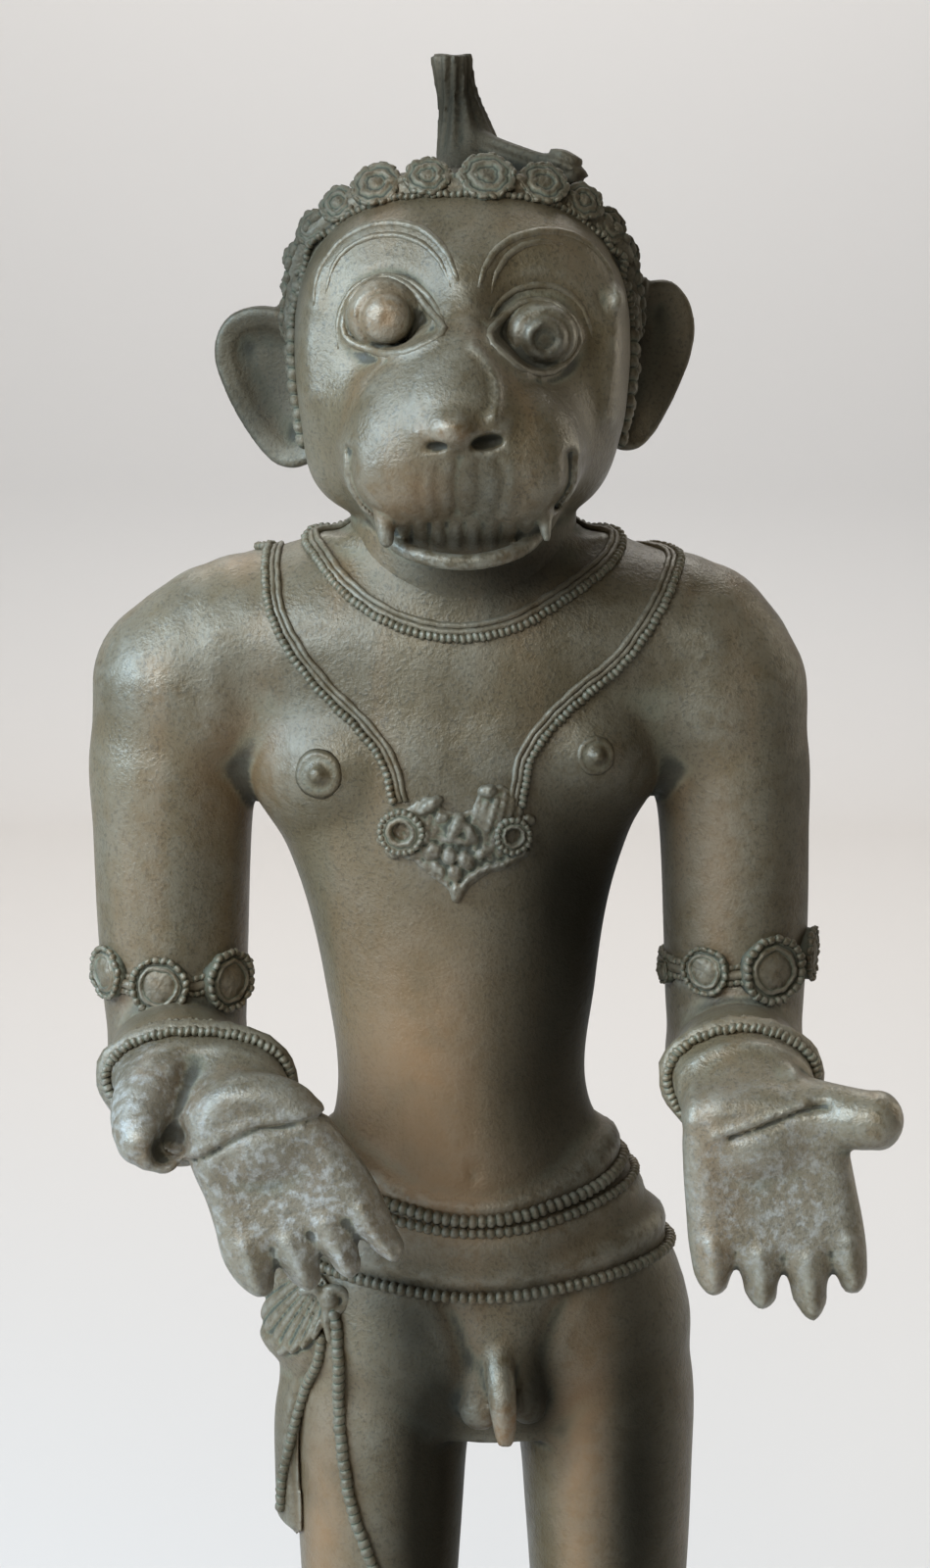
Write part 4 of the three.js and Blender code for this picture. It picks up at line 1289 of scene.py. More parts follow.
def shape_muzzle(clay):
    """The nose with its nostrils, the open mouth, the lower lip and the teeth."""
    ridge = [(0.2, -37, 592), (-0.2, -41.5, 582), (-0.8, -48.5, 570.5), (-1.2, -54.8, 562)]
    clay.add(chain(ridge, [2.2, 3.4, 5.2, 5.6]), 12)
    clay.add(egg((-2.4, -60.9, 558.4), (5.2, 5.3, 4.3)), 2.6)
    clay.add(egg((-8.6, -57.8, 557.6), (3.4, 4.2, 3)), 1.8)
    clay.add(egg((6.6, -57, 559.2), (4.6, 4.8, 3.9)), 2)
    clay.emboss((-34, -80, 530), (34, -24, 580), muzzle_relief)
    clay.cut(egg((5.8, -62.2, 555.4), (4, 4.8, 1.9), (0, -10, 0)), 0.7)
    clay.cut(egg((-6, -63.2, 554.4), (3, 3.6, 1.3)), 0.7)
    clay.cut(egg((0.4, -62, 531), (27, 17, 5.8)), 1)
    clay.add(egg((0.3, -27.5, 539.5), (22.5, 23.5, 13.6), square=2.2), 2.5)
    clay.emboss((-17, -60, 528), (17, -34, 539), teeth_relief)
    clay.add(chain(LOWER_LIP, [1.4, 1.8, 1.9, 1.9, 1.9, 1.8, 1.4], 14), 1.6)
    for tooth, radii in (
        ([(-17.8, -48.6, 541.5), (-17.6, -50.4, 536.5), (-17.3, -51, 532.6)], [2.9, 2.3, 1.7]),
        ([(18.4, -48, 541), (18.8, -49.4, 536.5), (19.3, -49.8, 533.2)], [2.2, 1.6, 1]),
    ):
        clay.add(chain(tooth, radii, 6), 1)


def shape_head():
    """The neck and the head, without its hair and its band."""
    clay = Clay((-66, -78, 503), (62, 54, 650), bpy.context.scene.bronze_sizes.head_step)
    clay.add(chain([at(0, 0.3, 77), *NECK[1:]], [22, 26.5, 27]), 2)
    clay.add(egg(SKULL, (40.5, 42, 37.8), square=2.4), 2)
    clay.add(egg((0, -12.5, 570.5), (39.4, 27.5, 39), square=2.5), 3)
    clay.add(egg((-24.2, -13, 549.6), (12.2, 14, 12.2)), 5)
    clay.add(egg((22.6, -13, 550), (11.2, 14, 12.2)), 5)
    clay.add(egg((0, -38, 554.5), (26.5, 22.5, 18.5), square=2.3), 12)
    clay.add(egg((-7.5, -44, 567), (12.5, 9.5, 13)), 9)
    clay.add(egg((5.5, -44, 566), (9.5, 9, 12)), 8)
    for x in (-13.5, 13.5):
        clay.add(egg((x, -45, 548.5), (12.5, 12.5, 12.5)), 9)
    clay.emboss((-42, -78, 552), (42, -5, 612), face_relief)
    shape_muzzle(clay)
    for x, z in ((-17.8, 583.6), (17.6, 578.6)):
        clay.add(egg((x, -35.2, z), (9.2, 9, 9.2 * 0.92)), 0.4)
    clay.add(egg((-17.2, -41, 582.6), (6.2, 4.5, 6)), 0.3)
    clay.emboss((-27, -60, 567), (28, -36, 593), iris_relief)
    clay.add(ear_shape(EAR_LEFT, (-46, 3, 565), -22), 1.4)
    clay.add(ear_shape(EAR_RIGHT, (44, 3, 571), 22), 1.4)
    clay.cut(egg((-45.3, -2.5, 551.6), (1.5, 4, 1.5)), 0.4)
    return clay


def comb_hair(x, y, z):
    """Combed strands that run back and down from the crown, behind the band."""
    turn = np.arctan2(x, y - 8.0)
    away = np.sqrt(x * x + (y - 8.0) ** 2 + (z - 580) ** 2)
    cover = step_up(z - (590 - 0.75 * (y + 6)), 0, 3) * step_up(y, -16, -10)
    nape = step_up(z, 541, 546)
    wave = np.abs(np.sin(19 * turn + 0.09 * (z - 590)))
    return (0.6 + 0.8 * wave) * cover * nape * (away < 60)


def shape_tuft(clay):
    """The combed tuft on top of the hair, and the lock that curls down beside it."""
    low, high, stalk = chain(TUFT, [10.5, 9.2, 7.8, 6.0, 4.8, 4.6, 5.1], 16)

    def combed(x, y, z):
        turn = np.arctan2(x + 1.5, y - 11.5)
        return stalk(x, y, z) + 0.5 * np.sin(11 * turn + 0.06 * z) * step_up(z, 618, 624)

    clay.add((low, high, combed), 3)
    clay.add(chain([(2, 6, 614), (11, 1, 612.5), (19, -4, 610), (26, -8, 606)], [8.5, 6.6, 5.4, 4.2], 10), 4)
    low, high, coil = chain(LOCK, [3.0, 3.8, 3.9, 3.2, 3.5, 3.0], 16)

    def combed_lock(x, y, z):
        return coil(x, y, z) + 0.45 * np.sin(2.3 * (0.37 * x + 0.93 * z)) * step_up(x, 2, 8)

    clay.add((low, high, combed_lock), 1.2)
    clay.keep(lambda x, y, z: z - HAIR_TOP - 0.2 * np.sin(0.9 * x) - 0.2 * np.sin(1.3 * y))


def brow_and_lid_lines(head):
    """Raised lines along the brows, the folds over the eyes and the rims of the lids."""
    trim = Trim()
    for side in ("left", "right"):
        rim = np.array(LIDS[side])
        rim += 1.1 * unit(rim - rim.mean(0))
        for line, size, closed in (
            (UPPER_BROW[side], 1.25, False),
            (LOWER_BROW[side], 1.0, False),
            (LOWER_FOLD[side], 1.0, False),
            (rim, 1.0, True),
        ):
            guides = walk([(x, -38.0, z) for x, z in line], 44, closed)
            points, normals = head.seen(guides)
            sizes = size if closed else size * np.sqrt(np.sin(np.linspace(0.25, np.pi - 0.25, 14)))
            trim.cord(points - 0.45 * normals, normals, sizes, 8, closed=closed)
    trim.finish("brow_and_lid_lines", skin_finish(), 0.08)


class BRONZE_OT_sculpt_head(bpy.types.Operator):
    """Models the neck, the monkey's head, its ears and its hair tuft."""

    bl_idname = "bronze.sculpt_head"
    bl_label = "Head"

    def execute(self, context):
        clay = shape_head()
        clay.emboss((-44, -22, 535), (44, 48, 628), comb_hair)
        bare = clay.twin()
        models["crown"] = bare.meet(crown_line(), SKULL)
        models["crown_ends"] = bare.meet(crown_line(126, 61), SKULL)
        clay.add(chain(models["crown"][0], 3, 40), 1.5)
        shape_tuft(clay)
        clay.keep(lambda x, y, z: np.where(z < 545, girdle(NECK_CENTRE, COLLAR, x, y) - 0.6 - z, -FAR))
        cast(clay, "head", skin_finish())
        brow_and_lid_lines(bare)
        return {"FINISHED"}


# Hands

# The outline of each open hand from the front, and the lines between and along its fingers
PALMS = {
    "right": [
        (-62.6, 397), (-61.2, 391), (-58.6, 385), (-56.4, 378.6), (-54, 370.4), (-50.2, 365.2),
        (-45.8, 363), (-42.8, 364.2), (-41.6, 368.8), (-38.6, 366.2), (-34.4, 364.6), (-32.6, 366.6),
        (-31.2, 371.6), (-28.4, 368.8), (-25.2, 367.4), (-23.4, 369.6), (-22.6, 375.2), (-18.6, 372.6),
        (-14.6, 371.2), (-13.4, 373.4), (-15.4, 378.6), (-18.4, 386), (-22.4, 393.2), (-29.6, 403),
        (-35.4, 410.8), (-44, 414), (-56, 412), (-62, 405),
    ],
    "left": [
        (50.4, 402), (50.1, 392.4), (50.8, 382.7), (51.8, 373), (53.6, 366.2), (56.8, 363.4),
        (59.8, 364.6), (62.3, 368.2), (64.2, 363.8), (68.2, 360.4), (71, 362), (73, 367), (75.4, 361.8),
        (79.8, 357.8), (82.4, 361), (84.4, 367.2), (86.8, 364.2), (89.8, 364), (91.8, 367), (92, 371),
        (91.2, 379.5), (89.8, 387), (88.6, 393), (86, 402), (80, 409), (66, 411), (54, 409),
    ],
}
FINGER_GAPS = {
    "right": [
        [(-41.6, 366), (-42, 371), (-43, 375)],
        [(-31.2, 369), (-32.4, 374), (-34.2, 378)],
        [(-22.6, 373), (-24.2, 378), (-26.2, 381)],
    ],
    "left": [
        [(62.3, 366), (62, 371), (61.7, 374)],
        [(73, 365), (72.8, 370), (72.4, 373)],
        [(84.4, 365), (83.8, 370), (83.2, 374)],
    ],
}
FINGER_RIDGES = {
    "right": [
        [(-46, 366), (-49, 376)],
        [(-34.2, 367), (-39.6, 377)],
        [(-25.4, 370), (-31.4, 381)],
        [(-15.6, 373.5), (-22.6, 384)],
    ],
    "left": [
        [(57, 366), (56.4, 376)],
        [(68, 363), (67.2, 374)],
        [(79.6, 361), (78, 373)],
        [(89, 367), (87.4, 377)],
    ],
}
# The forearms: place from back to front, middle across and up, half width, depths downwards and upwards
WRISTS = {
    "right": [
        (8, -71.6, 398.6, 16, 16, 16),
        (-10, -70.5, 400, 17, 16, 16),
        (-30, -68, 403.5, 18.4, 15.5, 14.5),
        (-50, -64.5, 407.5, 19.2, 14.5, 11.5),
        (-60, -62.9, 410, 19, 14, 9.6),
        (-66, -61, 409, 18, 12, 8.6),
    ],
    "left": [
        (8, 68.4, 398.6, 15.6, 16, 16),
        (-10, 68, 400, 16.2, 16, 16),
        (-30, 66.6, 404, 16.2, 15.5, 14),
        (-50, 65, 408.5, 15.8, 14.5, 10.4),
        (-60, 64.4, 410.5, 15.6, 14, 8.6),
        (-66, 65, 409.6, 15, 12, 8),
    ],
}
# How deep both palms lie, and the direction in which the heels of the hands are flat
PALM_PLACE = -76.5
HEEL_FLAT = (0, 0.7, -0.7)


def hand_slab(side, thick):
    """The flat of an open hand: its outline from the front, rounded at the edge."""
    rim = outline(PALMS[side], 150)
    across, up = np.array(PALMS[side]).T
    low = (across.min(), PALM_PLACE - thick - 4, up.min())
    high = (across.max(), PALM_PLACE + thick + 4, up.max())
    soft = thick - 0.4

    def distance(x, y, z):
        edge = rim(x, z) + soft
        bend = PALM_PLACE - 0.0035 * (405 - z) ** 2 * (z < 405) + 0.05 * (405 - z)
        flat = np.abs(y - bend) - thick + 1.6 * (1 - step_up(z, 360, 376)) + soft
        corner = np.hypot(np.clip(edge, 0, None), np.clip(flat, 0, None))
        return corner - soft + np.minimum(np.maximum(edge, flat), 0)

    return low, high, distance


def finger_relief(side, x, z):
    """The gaps between the fingers and the ridges along them."""
    gaps = sum(bump(stroke(line, 10)(x, z), 1.5, -1.1) for line in FINGER_GAPS[side])
    return gaps + sum(bump(stroke(line, 8)(x, z), 2, 1) for line in FINGER_RIDGES[side])


def shape_forearm(clay, side):
    """The bent arm from below the armlet to the wrist."""
    clay.add(loft(ARM_ROWS[side]), 2)
    clay.add(egg((WRISTS[side][0][1], 3.4, 399), (16.7, 16.7, 16.8)), 1.2)
    clay.add(loft(WRISTS[side], axis=1), 4)


def right_palm(x, y, z):
    """The creases, the cupped middle and the fingers of the hand at the viewer's left."""
    crease = [
        (-60.5, 394.8), (-57.6, 396.4), (-52.7, 399.7), (-46.1, 402.8), (-42.3, 403.1), (-36.6, 404.2),
        (-31.4, 404.8),
    ]
    cuff = [(-60.6, 396.6), (-52.9, 401.4), (-46.1, 404.4), (-42.3, 404.7), (-31.8, 406.4)]
    heel = [(-66.2, 414.5), (-58.6, 417.4), (-52, 419)]
    height = bump(stroke(cuff, 40)(x, z), 1.3, 0.55) - bump(stroke(crease, 40)(x, z), 0.75, 1.3)
    height += bump(stroke(heel, 16)(x, z), 1.6, 0.7)
    height -= 1.3 * np.exp(-(((x + 44) / 12) ** 2 + ((z - 390) / 9) ** 2))
    return (height + finger_relief("right", x, z)) * (1 - step_up(y, -73, -66))


def left_palm(x, y, z):
    """The creases, the cupped middle and the fingers of the hand at the viewer's right."""
    crease = [(60.4, 400.8), (65.5, 402.6), (71.3, 404.9), (77, 406.9), (82, 408)]
    cuff = [(56.6, 401.4), (61, 402.6), (65.8, 404.2), (71.6, 406.5), (77, 408.5)]
    heel = [(51, 404), (52, 411.4), (55.4, 416.4), (61.4, 418.8), (68.6, 418.8), (75.2, 414.6)]
    height = bump(stroke(cuff, 30)(x, z), 1.1, 0.9) - bump(stroke(crease, 30)(x, z), 0.8, 1.5)
    height += bump(stroke(heel, 30)(x, z), 1.9, 1.4)
    height -= 1.2 * np.exp(-(((x - 71) / 13) ** 2 + ((z - 389) / 9) ** 2))
    return (height + finger_relief("left", x, z)) * (1 - step_up(y, -73, -62))


def shape_right_hand(clay):
    """The viewer's left: the palm hangs inward and the short thumb hangs outward."""
    shape_forearm(clay, "right")
    clay.add(hand_slab("right", 6.4), 3)
    heel = [(-54, -62, 407), (-51, -71, 404.5), (-46, -75.5, 400)]
    clay.add(chain(heel, [13, 13, 11], 6, HEEL_FLAT, 0.62), 5)
    thumb = [(-66, -60, 408), (-71, -69, 407), (-73.2, -76, 403.2), (-72.2, -80, 399), (-67.6, -80.5, 396.4)]
    clay.add(chain(thumb, [9, 8.6, 6.6, 5.6, 4.4], 10), 3.5)
    clay.emboss((-70, -95, 355), (-10, -64, 422), right_palm)
    clay.add(egg((-64.6, -69.5, 399), (9, 6, 8.5)), 2)
    clay.cut(egg((-65.8, -84, 399.2), (4, 8.4, 5.4), (0, 28, 0)), 1.6)


def shape_left_hand(clay):
    """The viewer's right: the palm hangs straight, with the thumb held out."""
    shape_forearm(clay, "left")
    clay.add(hand_slab("left", 6.2), 3)
    heel = [(65, -62, 408), (65.5, -70, 406), (67, -75, 401)]
    clay.add(chain(heel, [14.5, 13.5, 11], 6, HEEL_FLAT, 0.62), 5)
    thumb = [(76, -72, 405.2), (84, -77, 404.8), (90, -80.5, 404.4), (92.6, -81.5, 404.6)]
    clay.add(chain(thumb, [7.4, 6.9, 6.9, 6.6], 8), 3)
    clay.add(egg((94.2, -80.5, 404.2), (4.5, 5.4, 6.5)), 1.5)
    clay.emboss((44, -95, 350), (102, -58, 424), left_palm)


class BRONZE_OT_sculpt_hands(bpy.types.Operator):
    """Models both forearms and open hands, below the armlets."""

    bl_idname = "bronze.sculpt_hands"
    bl_label = "Forearms and hands"

    def execute(self, context):
        step = context.scene.bronze_sizes.hand_step
        for side, low, high, shape in (
            ("right", (-97, -96, 350), (-6, 26, 428), shape_right_hand),
            ("left", (42, -96, 350), (106, 26, 428), shape_left_hand),
        ):
            clay = Clay(low, high, step)
            shape(clay)
            models[side + "_forearm"] = clay.twin()
            clay.keep(lambda x, y, z: z - ARM_JOINT - LAP)
            cast(clay, side + "_forearm_and_hand", skin_finish())
        return {"FINISHED"}


# Ornaments


class BRONZE_OT_tie_belts(bpy.types.Operator):
    """Lays the ribbed edges of the two hip belts."""

    bl_idname = "bronze.tie_belts"
    bl_label = "Belts"

    def execute(self, context):
        clay = made("dressed_torso")
        rib = context.scene.bronze_sizes.rib_spacing
        trim = Trim()
        for heights, stand, radius in (
            (UPPER_RIBS[0], 0.9, 1.75),
            (UPPER_RIBS[1], 0.3, 1.35),
            (LOWER_RIBS, 0.7, 1.6),
        ):
            points, normals = hip_ring(clay, heights)
            trim.cord(points + stand * normals, normals, radius, 8, rib, 0.6, True, sharp=0.5)
        trim.finish("hip_belts", trim_finish(), 0.06)
        return {"FINISHED"}


# The front of the long necklace on each side, from the shoulder to the clasp
STRANDS = {
    -1: [
        (-46.4, -8, 527.7), (-46.2, -13, 522.1), (-44.6, -20, 512.8), (-39.9, -26, 504.6),
        (-31.8, -31, 495.3), (-24, -34, 487.8), (-18.1, -35, 480.1), (-15, -35, 469.5),
    ],
    1: [
        (50, -8, 526.7), (49.4, -14, 519.2), (43.8, -22, 510.1), (36.7, -27, 501.7), (27.8, -31, 494.8),
        (20.4, -34, 487.8), (15.5, -35, 481.2), (12.8, -35, 468.5),
    ],
}


def strand(clay, side):
    """The long necklace on one side, from the middle of the back over the shoulder to the clasp."""
    guides = np.array([at(side * 0.2, 8, 70), at(side * 4.6, 7, 74.5), at(side * 7.2, 5, 78.4)])
    back, _ = clay.meet(guides, at(0, 0.4, 72))
    over, _ = clay.meet([(side * 47.6, 3, 560)], (side * 47.6, 3, 490))
    front, _ = clay.seen(STRANDS[side])
    points = walk(np.vstack([back, over, front]), 90)
    for _ in range(8):
        points = points - 0.8 * clay.sample(points)[:, None] * clay.normals(points)
    return points, clay.normals(points)


def front_spot(clay, x, z):
    """A place on the chest as the camera sees it, and the way out of it, leant towards the viewer."""
    spot, out = clay.seen([(x, -35, z)])
    return spot[0], out[0] + np.array([0, -0.5, 0])


# The pendant's leaves and lumps: middle across and up, half width, half height, turn in degrees, height
LUMPS = [
    (-7.8, 468.6, 3.8, 1.6, 34, 2),
    (-4.8, 465.8, 1.7, 1.3, 0, 1.2),
    (-1.6, 463.2, 1.8, 3.8, -24, 2.6),
    (1.4, 462.4, 1.6, 3.4, 32, 2.1),
    (-0.6, 460.3, 4.4, 1.2, -4, 1.6),
    (-7.2, 457.6, 2.4, 2, 25, 1.9),
    (-3.1, 456.4, 1.9, 2.3, 0, 2.4),
    (0.7, 455.4, 2.6, 2, -35, 2.2),
    (4.8, 457.2, 2.3, 1.3, 28, 1.6),
    (-5.8, 453.4, 2.4, 1.1, -38, 1.4),
    (-1.8, 452.4, 1.7, 2.2, 20, 1.8),
    (2.4, 451.6, 1.4, 1, 25, 1.2),
    (-8.8, 461.2, 1.4, 2, 0, 1.3),
    (4.6, 466.4, 1.9, 5, -30, 0.9),
    (7, 466.4, 1.9, 5.6, -24, 1.3),
    (9.4, 467.4, 1.8, 5.2, -15, 1.1),
    (11.4, 468.4, 1.4, 4.2, -5, 0.9),
    (6, 472, 2.4, 1.8, 0, 1.9),
    (-18.6, 460.4, 1.6, 1.5, 0, 1.4),
    (-16.6, 457.2, 1.7, 1.3, -30, 1.3),
    (-12, 456.6, 1.8, 1.1, 10, 1.1),
    (16, 465.2, 1.6, 1.4, 0, 1.3),
    (-1.5, 448, 1.3, 2.6, 5, 1.5),
]
PENDANT_EDGE = [
    (-13, 469), (-8, 471.5), (-3, 468), (1, 468), (4.4, 473.5), (9, 474.4), (13.4, 471), (15.6, 464),
    (14.4, 457.4), (9, 453.6), (2.6, 449), (-1.4, 445), (-4.4, 448.6), (-8.6, 451.6), (-12.6, 455.4),
    (-18.4, 457.2), (-19, 462),
]
CRESCENT = [(-1.4, 446.4), (0.4, 449.8), (4.8, 453.2), (10.4, 454.8), (14.8, 457.6)]
# A clasp's profile: radii in shares of its size and then of its hole, with heights and how hollow it is
CLASP_RIM = [(1, -1.5, 1), (1, 1.6, 0.5), (0.86, 2.4, 0), (0.7, 2, 0.9), (0.62, 2.7, 0.2)]
CLASP_HOLE = [(1.25, 2.9, 0), (1, 2, 0.5), (0.9, 0.1, 1)]


def shape_pendant(chest):
    """The pendant and the leaves beside the clasps, as one lumpy casting on the chest."""
    clay = Clay((-23, -46, 441), (20, -18, 479), bpy.context.scene.bronze_sizes.pendant_step)
    x, y, z = clay.places()
    skin = clay.over(chest)
    nearer = (-35 - EYE[1]) / (y - EYE[1])
    along = EYE[0] + (x - EYE[0]) * nearer
    height = EYE[2] + (z - EYE[2]) * nearer
    rise = 0.7 * step_up(-outline(PENDANT_EDGE, 90)(along, height), -0.2, 1.4)
    for middle, up, wide, tall, turn, top in LUMPS:
        c, s = math.cos(math.radians(turn)), math.sin(math.radians(turn))
        u = ((along - middle) * c + (height - up) * s) / wide
        v = ((height - up) * c - (along - middle) * s) / tall
        away = u * u + v * v
        rise = np.maximum(rise, 0.4 + top * np.sqrt(np.clip(1 - away, 0, 1)) - 0.6 * (away > 1))
    rise = np.maximum(rise, bump(stroke(CRESCENT, 24)(along, height), 1, 1.9))
    rise += (rise > 0.5) * 0.3 * np.sin(2.3 * along + 1.1 * height) * np.sin(1.9 * height - 0.7 * along)
    clay.field = np.maximum(np.maximum(skin - rise, -0.8 - skin), 0.35 - rise).astype(np.float32)
    cast(clay, "pendant", trim_finish())


def lay_torque(trim, bead):
    """Two plain cords and a row of beads round the neck."""
    points, normals = made("torque")
    across = unit(np.cross(normals, np.roll(points, -1, 0) - np.roll(points, 1, 0)))
    across *= np.sign((across * (points - [0, 0, 560])).sum(1, keepdims=True))
    for shift in (-1.7, -0.2):
        trim.cord(points + shift * across + 0.45 * normals, normals, 0.85, 7, closed=True)
    trim.cord(points + 1.3 * across + 0.5 * normals, normals, 1.2, 7, bead, 0.45, True)


def lay_strand(trim, clay, side, bead):
    """Two plain cords and a row of beads over one shoulder."""
    points, normals = strand(clay, side)
    across = side * unit(np.cross(normals, np.gradient(points, axis=0)))
    for shift, radius, spacing in ((-1.75, 0.75, None), (-0.4, 0.75, None), (1.15, 1.15, bead)):
        lane = points + shift * across + (radius - 0.5) * normals
        trim.cord(lane, normals, radius, 7, spacing, 0.45)


def clasp(trim, clay, x, z, size, hole):
    """A ring with a deep hole, set round with beads."""
    spot, facing = front_spot(clay, x, z)
    profile = sized(CLASP_RIM, size) + sized(CLASP_HOLE, hole) + [(0.3, -0.3, 1)]
    trim.turned(spot, facing, profile, 36, 9, 0.06)
    trim.ring_of_beads(spot, facing, size * 0.92, 0.85, int(size * 4), 2.0)


class BRONZE_OT_hang_necklaces(bpy.types.Operator):
    """Lays the torque round the neck and the long necklace with its clasps and pendant."""

    bl_idname = "bronze.hang_necklaces"
    bl_label = "Necklaces"

    def execute(self, context):
        bead = context.scene.bronze_sizes.bead_spacing
        chest = made("torso")
        trim = Trim()
        lay_torque(trim, bead)
        for side in (-1, 1):
            lay_strand(trim, chest, side, bead)
        clasp(trim, chest, -14.3, 462.6, 5.4, 2.2)
        clasp(trim, chest, 11.8, 461.8, 4.3, 1.9)
        trim.finish("necklaces", trim_finish(), 0.12)
        shape_pendant(chest)
        return {"FINISHED"}


# A medallion's profile: share of its size, height, how hollow
SETTING = [
    (0.98, -2.5, 1), (0.98, 0.5, 0.7), (0.8, 0.9, 0.8), (0.74, 0.7, 1), (0.7, 1.7, 0.1), (0.62, 1.8, 0),
    (0.57, 1, 0.9), (0.5225, 1.3, 0.2), (0.3, 1.75, 0), (0.1, 1.85, 0),
]
# The armlets: middle across, radius, height, and the angle, height and size of each medallion
ARMLETS = {
    "right": (-72.1, 18.2, 420.6, [(-54, 422.8, 6.6), (-6, 420.9, 7.2), (49, 420.9, 7.6)]),
    "left": (68.1, 17.7, 423.4, [(-70, 422, 3), (-27, 424.2, 6), (25, 424.5, 8.4), (76, 426, 6.6)]),
}
ARMLET_DEPTH = 2.5


def medallion(trim, spot, facing, size):
    """A smooth stone in a raised setting, inside a frame of beads."""
    trim.turned(spot, facing, sized(SETTING, size), 40)
    trim.ring_of_beads(spot, facing, size * 0.93, size * 0.13, int(size * 3), 1.0)


def lay_armlet(trim, side, bead):
    """Three cords round the arm, with medallions on them."""
    x, radius, height, stones = ARMLETS[side]
    angle = once_round(RING_POINTS)
    outward = np.column_stack([np.sin(angle), -np.cos(angle), 0 * angle])
    for shift, size, spacing in ((0.0, 1.3, None), (1.9, 0.95, bead), (-1.9, 0.95, bead)):
        ring = np.array([x, ARMLET_DEPTH, height + shift]) + (radius + 0.5) * outward
        trim.cord(ring, outward, size, 8, spacing, 0.45, True)
    for degrees, z, size in stones:
        turn = math.radians(degrees)
        facing = np.array([math.sin(turn), -math.cos(turn), 0])
        medallion(trim, np.array([x, ARMLET_DEPTH, z]) + (radius + 0.9) * facing, facing, size)


def lay_bracelet(trim, side, bead):
    """Four cords round the wrist, two of them beaded."""
    angle = once_round(RING_POINTS)
    outward = np.column_stack([np.sin(angle), 0 * angle, np.cos(angle)])
    rows = np.array(sorted(WRISTS[side]))
    for y, stand, size, spacing in (
        (-59.4, 0.9, 2.1, None),
        (-61.4, 1.1, 1.25, bead),
        (-50.5, 0.6, 1.35, bead),
        (-49.2, 0.3, 0.9, None),
    ):
        middle = np.array([np.interp(y, rows[:, 0], rows[:, 1]), y, np.interp(y, rows[:, 0], rows[:, 2])])
        points, _ = made(side + "_forearm").meet(middle + 30 * outward, middle)
        trim.cord(points + stand * outward, outward, size, 8, spacing, 0.42, True)


class BRONZE_OT_fix_armlets(bpy.types.Operator):
    """Sets the armlets with their medallions, and the bracelets."""

    bl_idname = "bronze.fix_armlets"
    bl_label = "Armlets and bracelets"

    def execute(self, context):
        bead = context.scene.bronze_sizes.bead_spacing
        for side in ("right", "left"):
            trim = Trim()
            lay_armlet(trim, side, bead)
            lay_bracelet(trim, side, bead)
            trim.finish(side + "_armlet_and_bracelet", trim_finish())
        return {"FINISHED"}


# The rosettes of the hair band: distance from the middle of the brow and size
ROSETTES = (
    (-66, 3), (-60, 3.3), (-53.5, 3.6), (-46, 3.9), (-38, 4.2), (-29.6, 4.5), (-19.6, 5.9), (-7.9, 5.2),
    (5.6, 6.4), (18.4, 5.7), (28.6, 4.7), (37, 4.3), (45, 4), (52.6, 3.8), (59.6, 3.4), (66, 3),
)
# A rosette's profile: share of its size, height, how hollow
ROSETTE = [
    (1, -5, 1), (1, 0.9, 0.7), (0.88, 1.5, 0.1), (0.74, 0.8, 1), (0.62, 1.6, 0.2), (0.5, 1.7, 0.1),
    (0.38, 1, 1), (0.24, 1.6, 0.2), (0.08, 1.7, 0),
]


def band_row(trim, line, out, shift, stand, size, spacing):
    """A row of beads beside the middle line of the hair band."""
    across = unit(np.cross(out, np.gradient(line, axis=0)))
    trim.cord(line + shift * across + stand * out, out, size, 7, spacing, 0.45)


class BRONZE_OT_set_hair_band(bpy.types.Operator):
    """Sets the rosettes and bead rows of the hair band, and the strips that run down before the ears."""

    bl_idname = "bronze.set_hair_band"
    bl_label = "Hair band"

    def execute(self, context):
        bead = context.scene.bronze_sizes.bead_spacing
        points, normals = made("crown")
        trim = Trim()
        for shift in (-4.2, 4.2):
            band_row(trim, points, normals, shift, 0.3, 1.0, bead)
        band_row(trim, points, normals, 0, 2.6, 1.4, 3.4)
        ends, ends_out = made("crown_ends")
        for strip in (slice(0, 14), slice(47, 61)):
            for shift, size, spacing in ((-3.1, 1.8, 3.1), (0.1, 2.4, 4.3), (3.0, 1.9, 3.6)):
                band_row(trim, ends[strip], ends_out[strip], shift, 0.4, size, spacing)
        track = walk(np.column_stack([points, normals]), 181)
        run = lengths_along(track)
        middle = np.interp(0, track[:, 0], run)
        for far, size in ROSETTES:
            here = np.array([np.interp(middle + far, run, track[:, i]) for i in range(6)])
            facing = here[3:] + np.array([0, -0.75, 0])
            spot = here[:3] + (2.6 - 1.9 * step_up(abs(far), 22, 50)) * here[3:]
            trim.turned(spot, facing, sized(ROSETTE, size), 32, 9, 0.1)
            trim.ring_of_beads(spot, facing, size * 0.96, 0.75, int(size * 2.6), 0.7)
        trim.finish("hair_band", trim_finish())
        return {"FINISHED"}


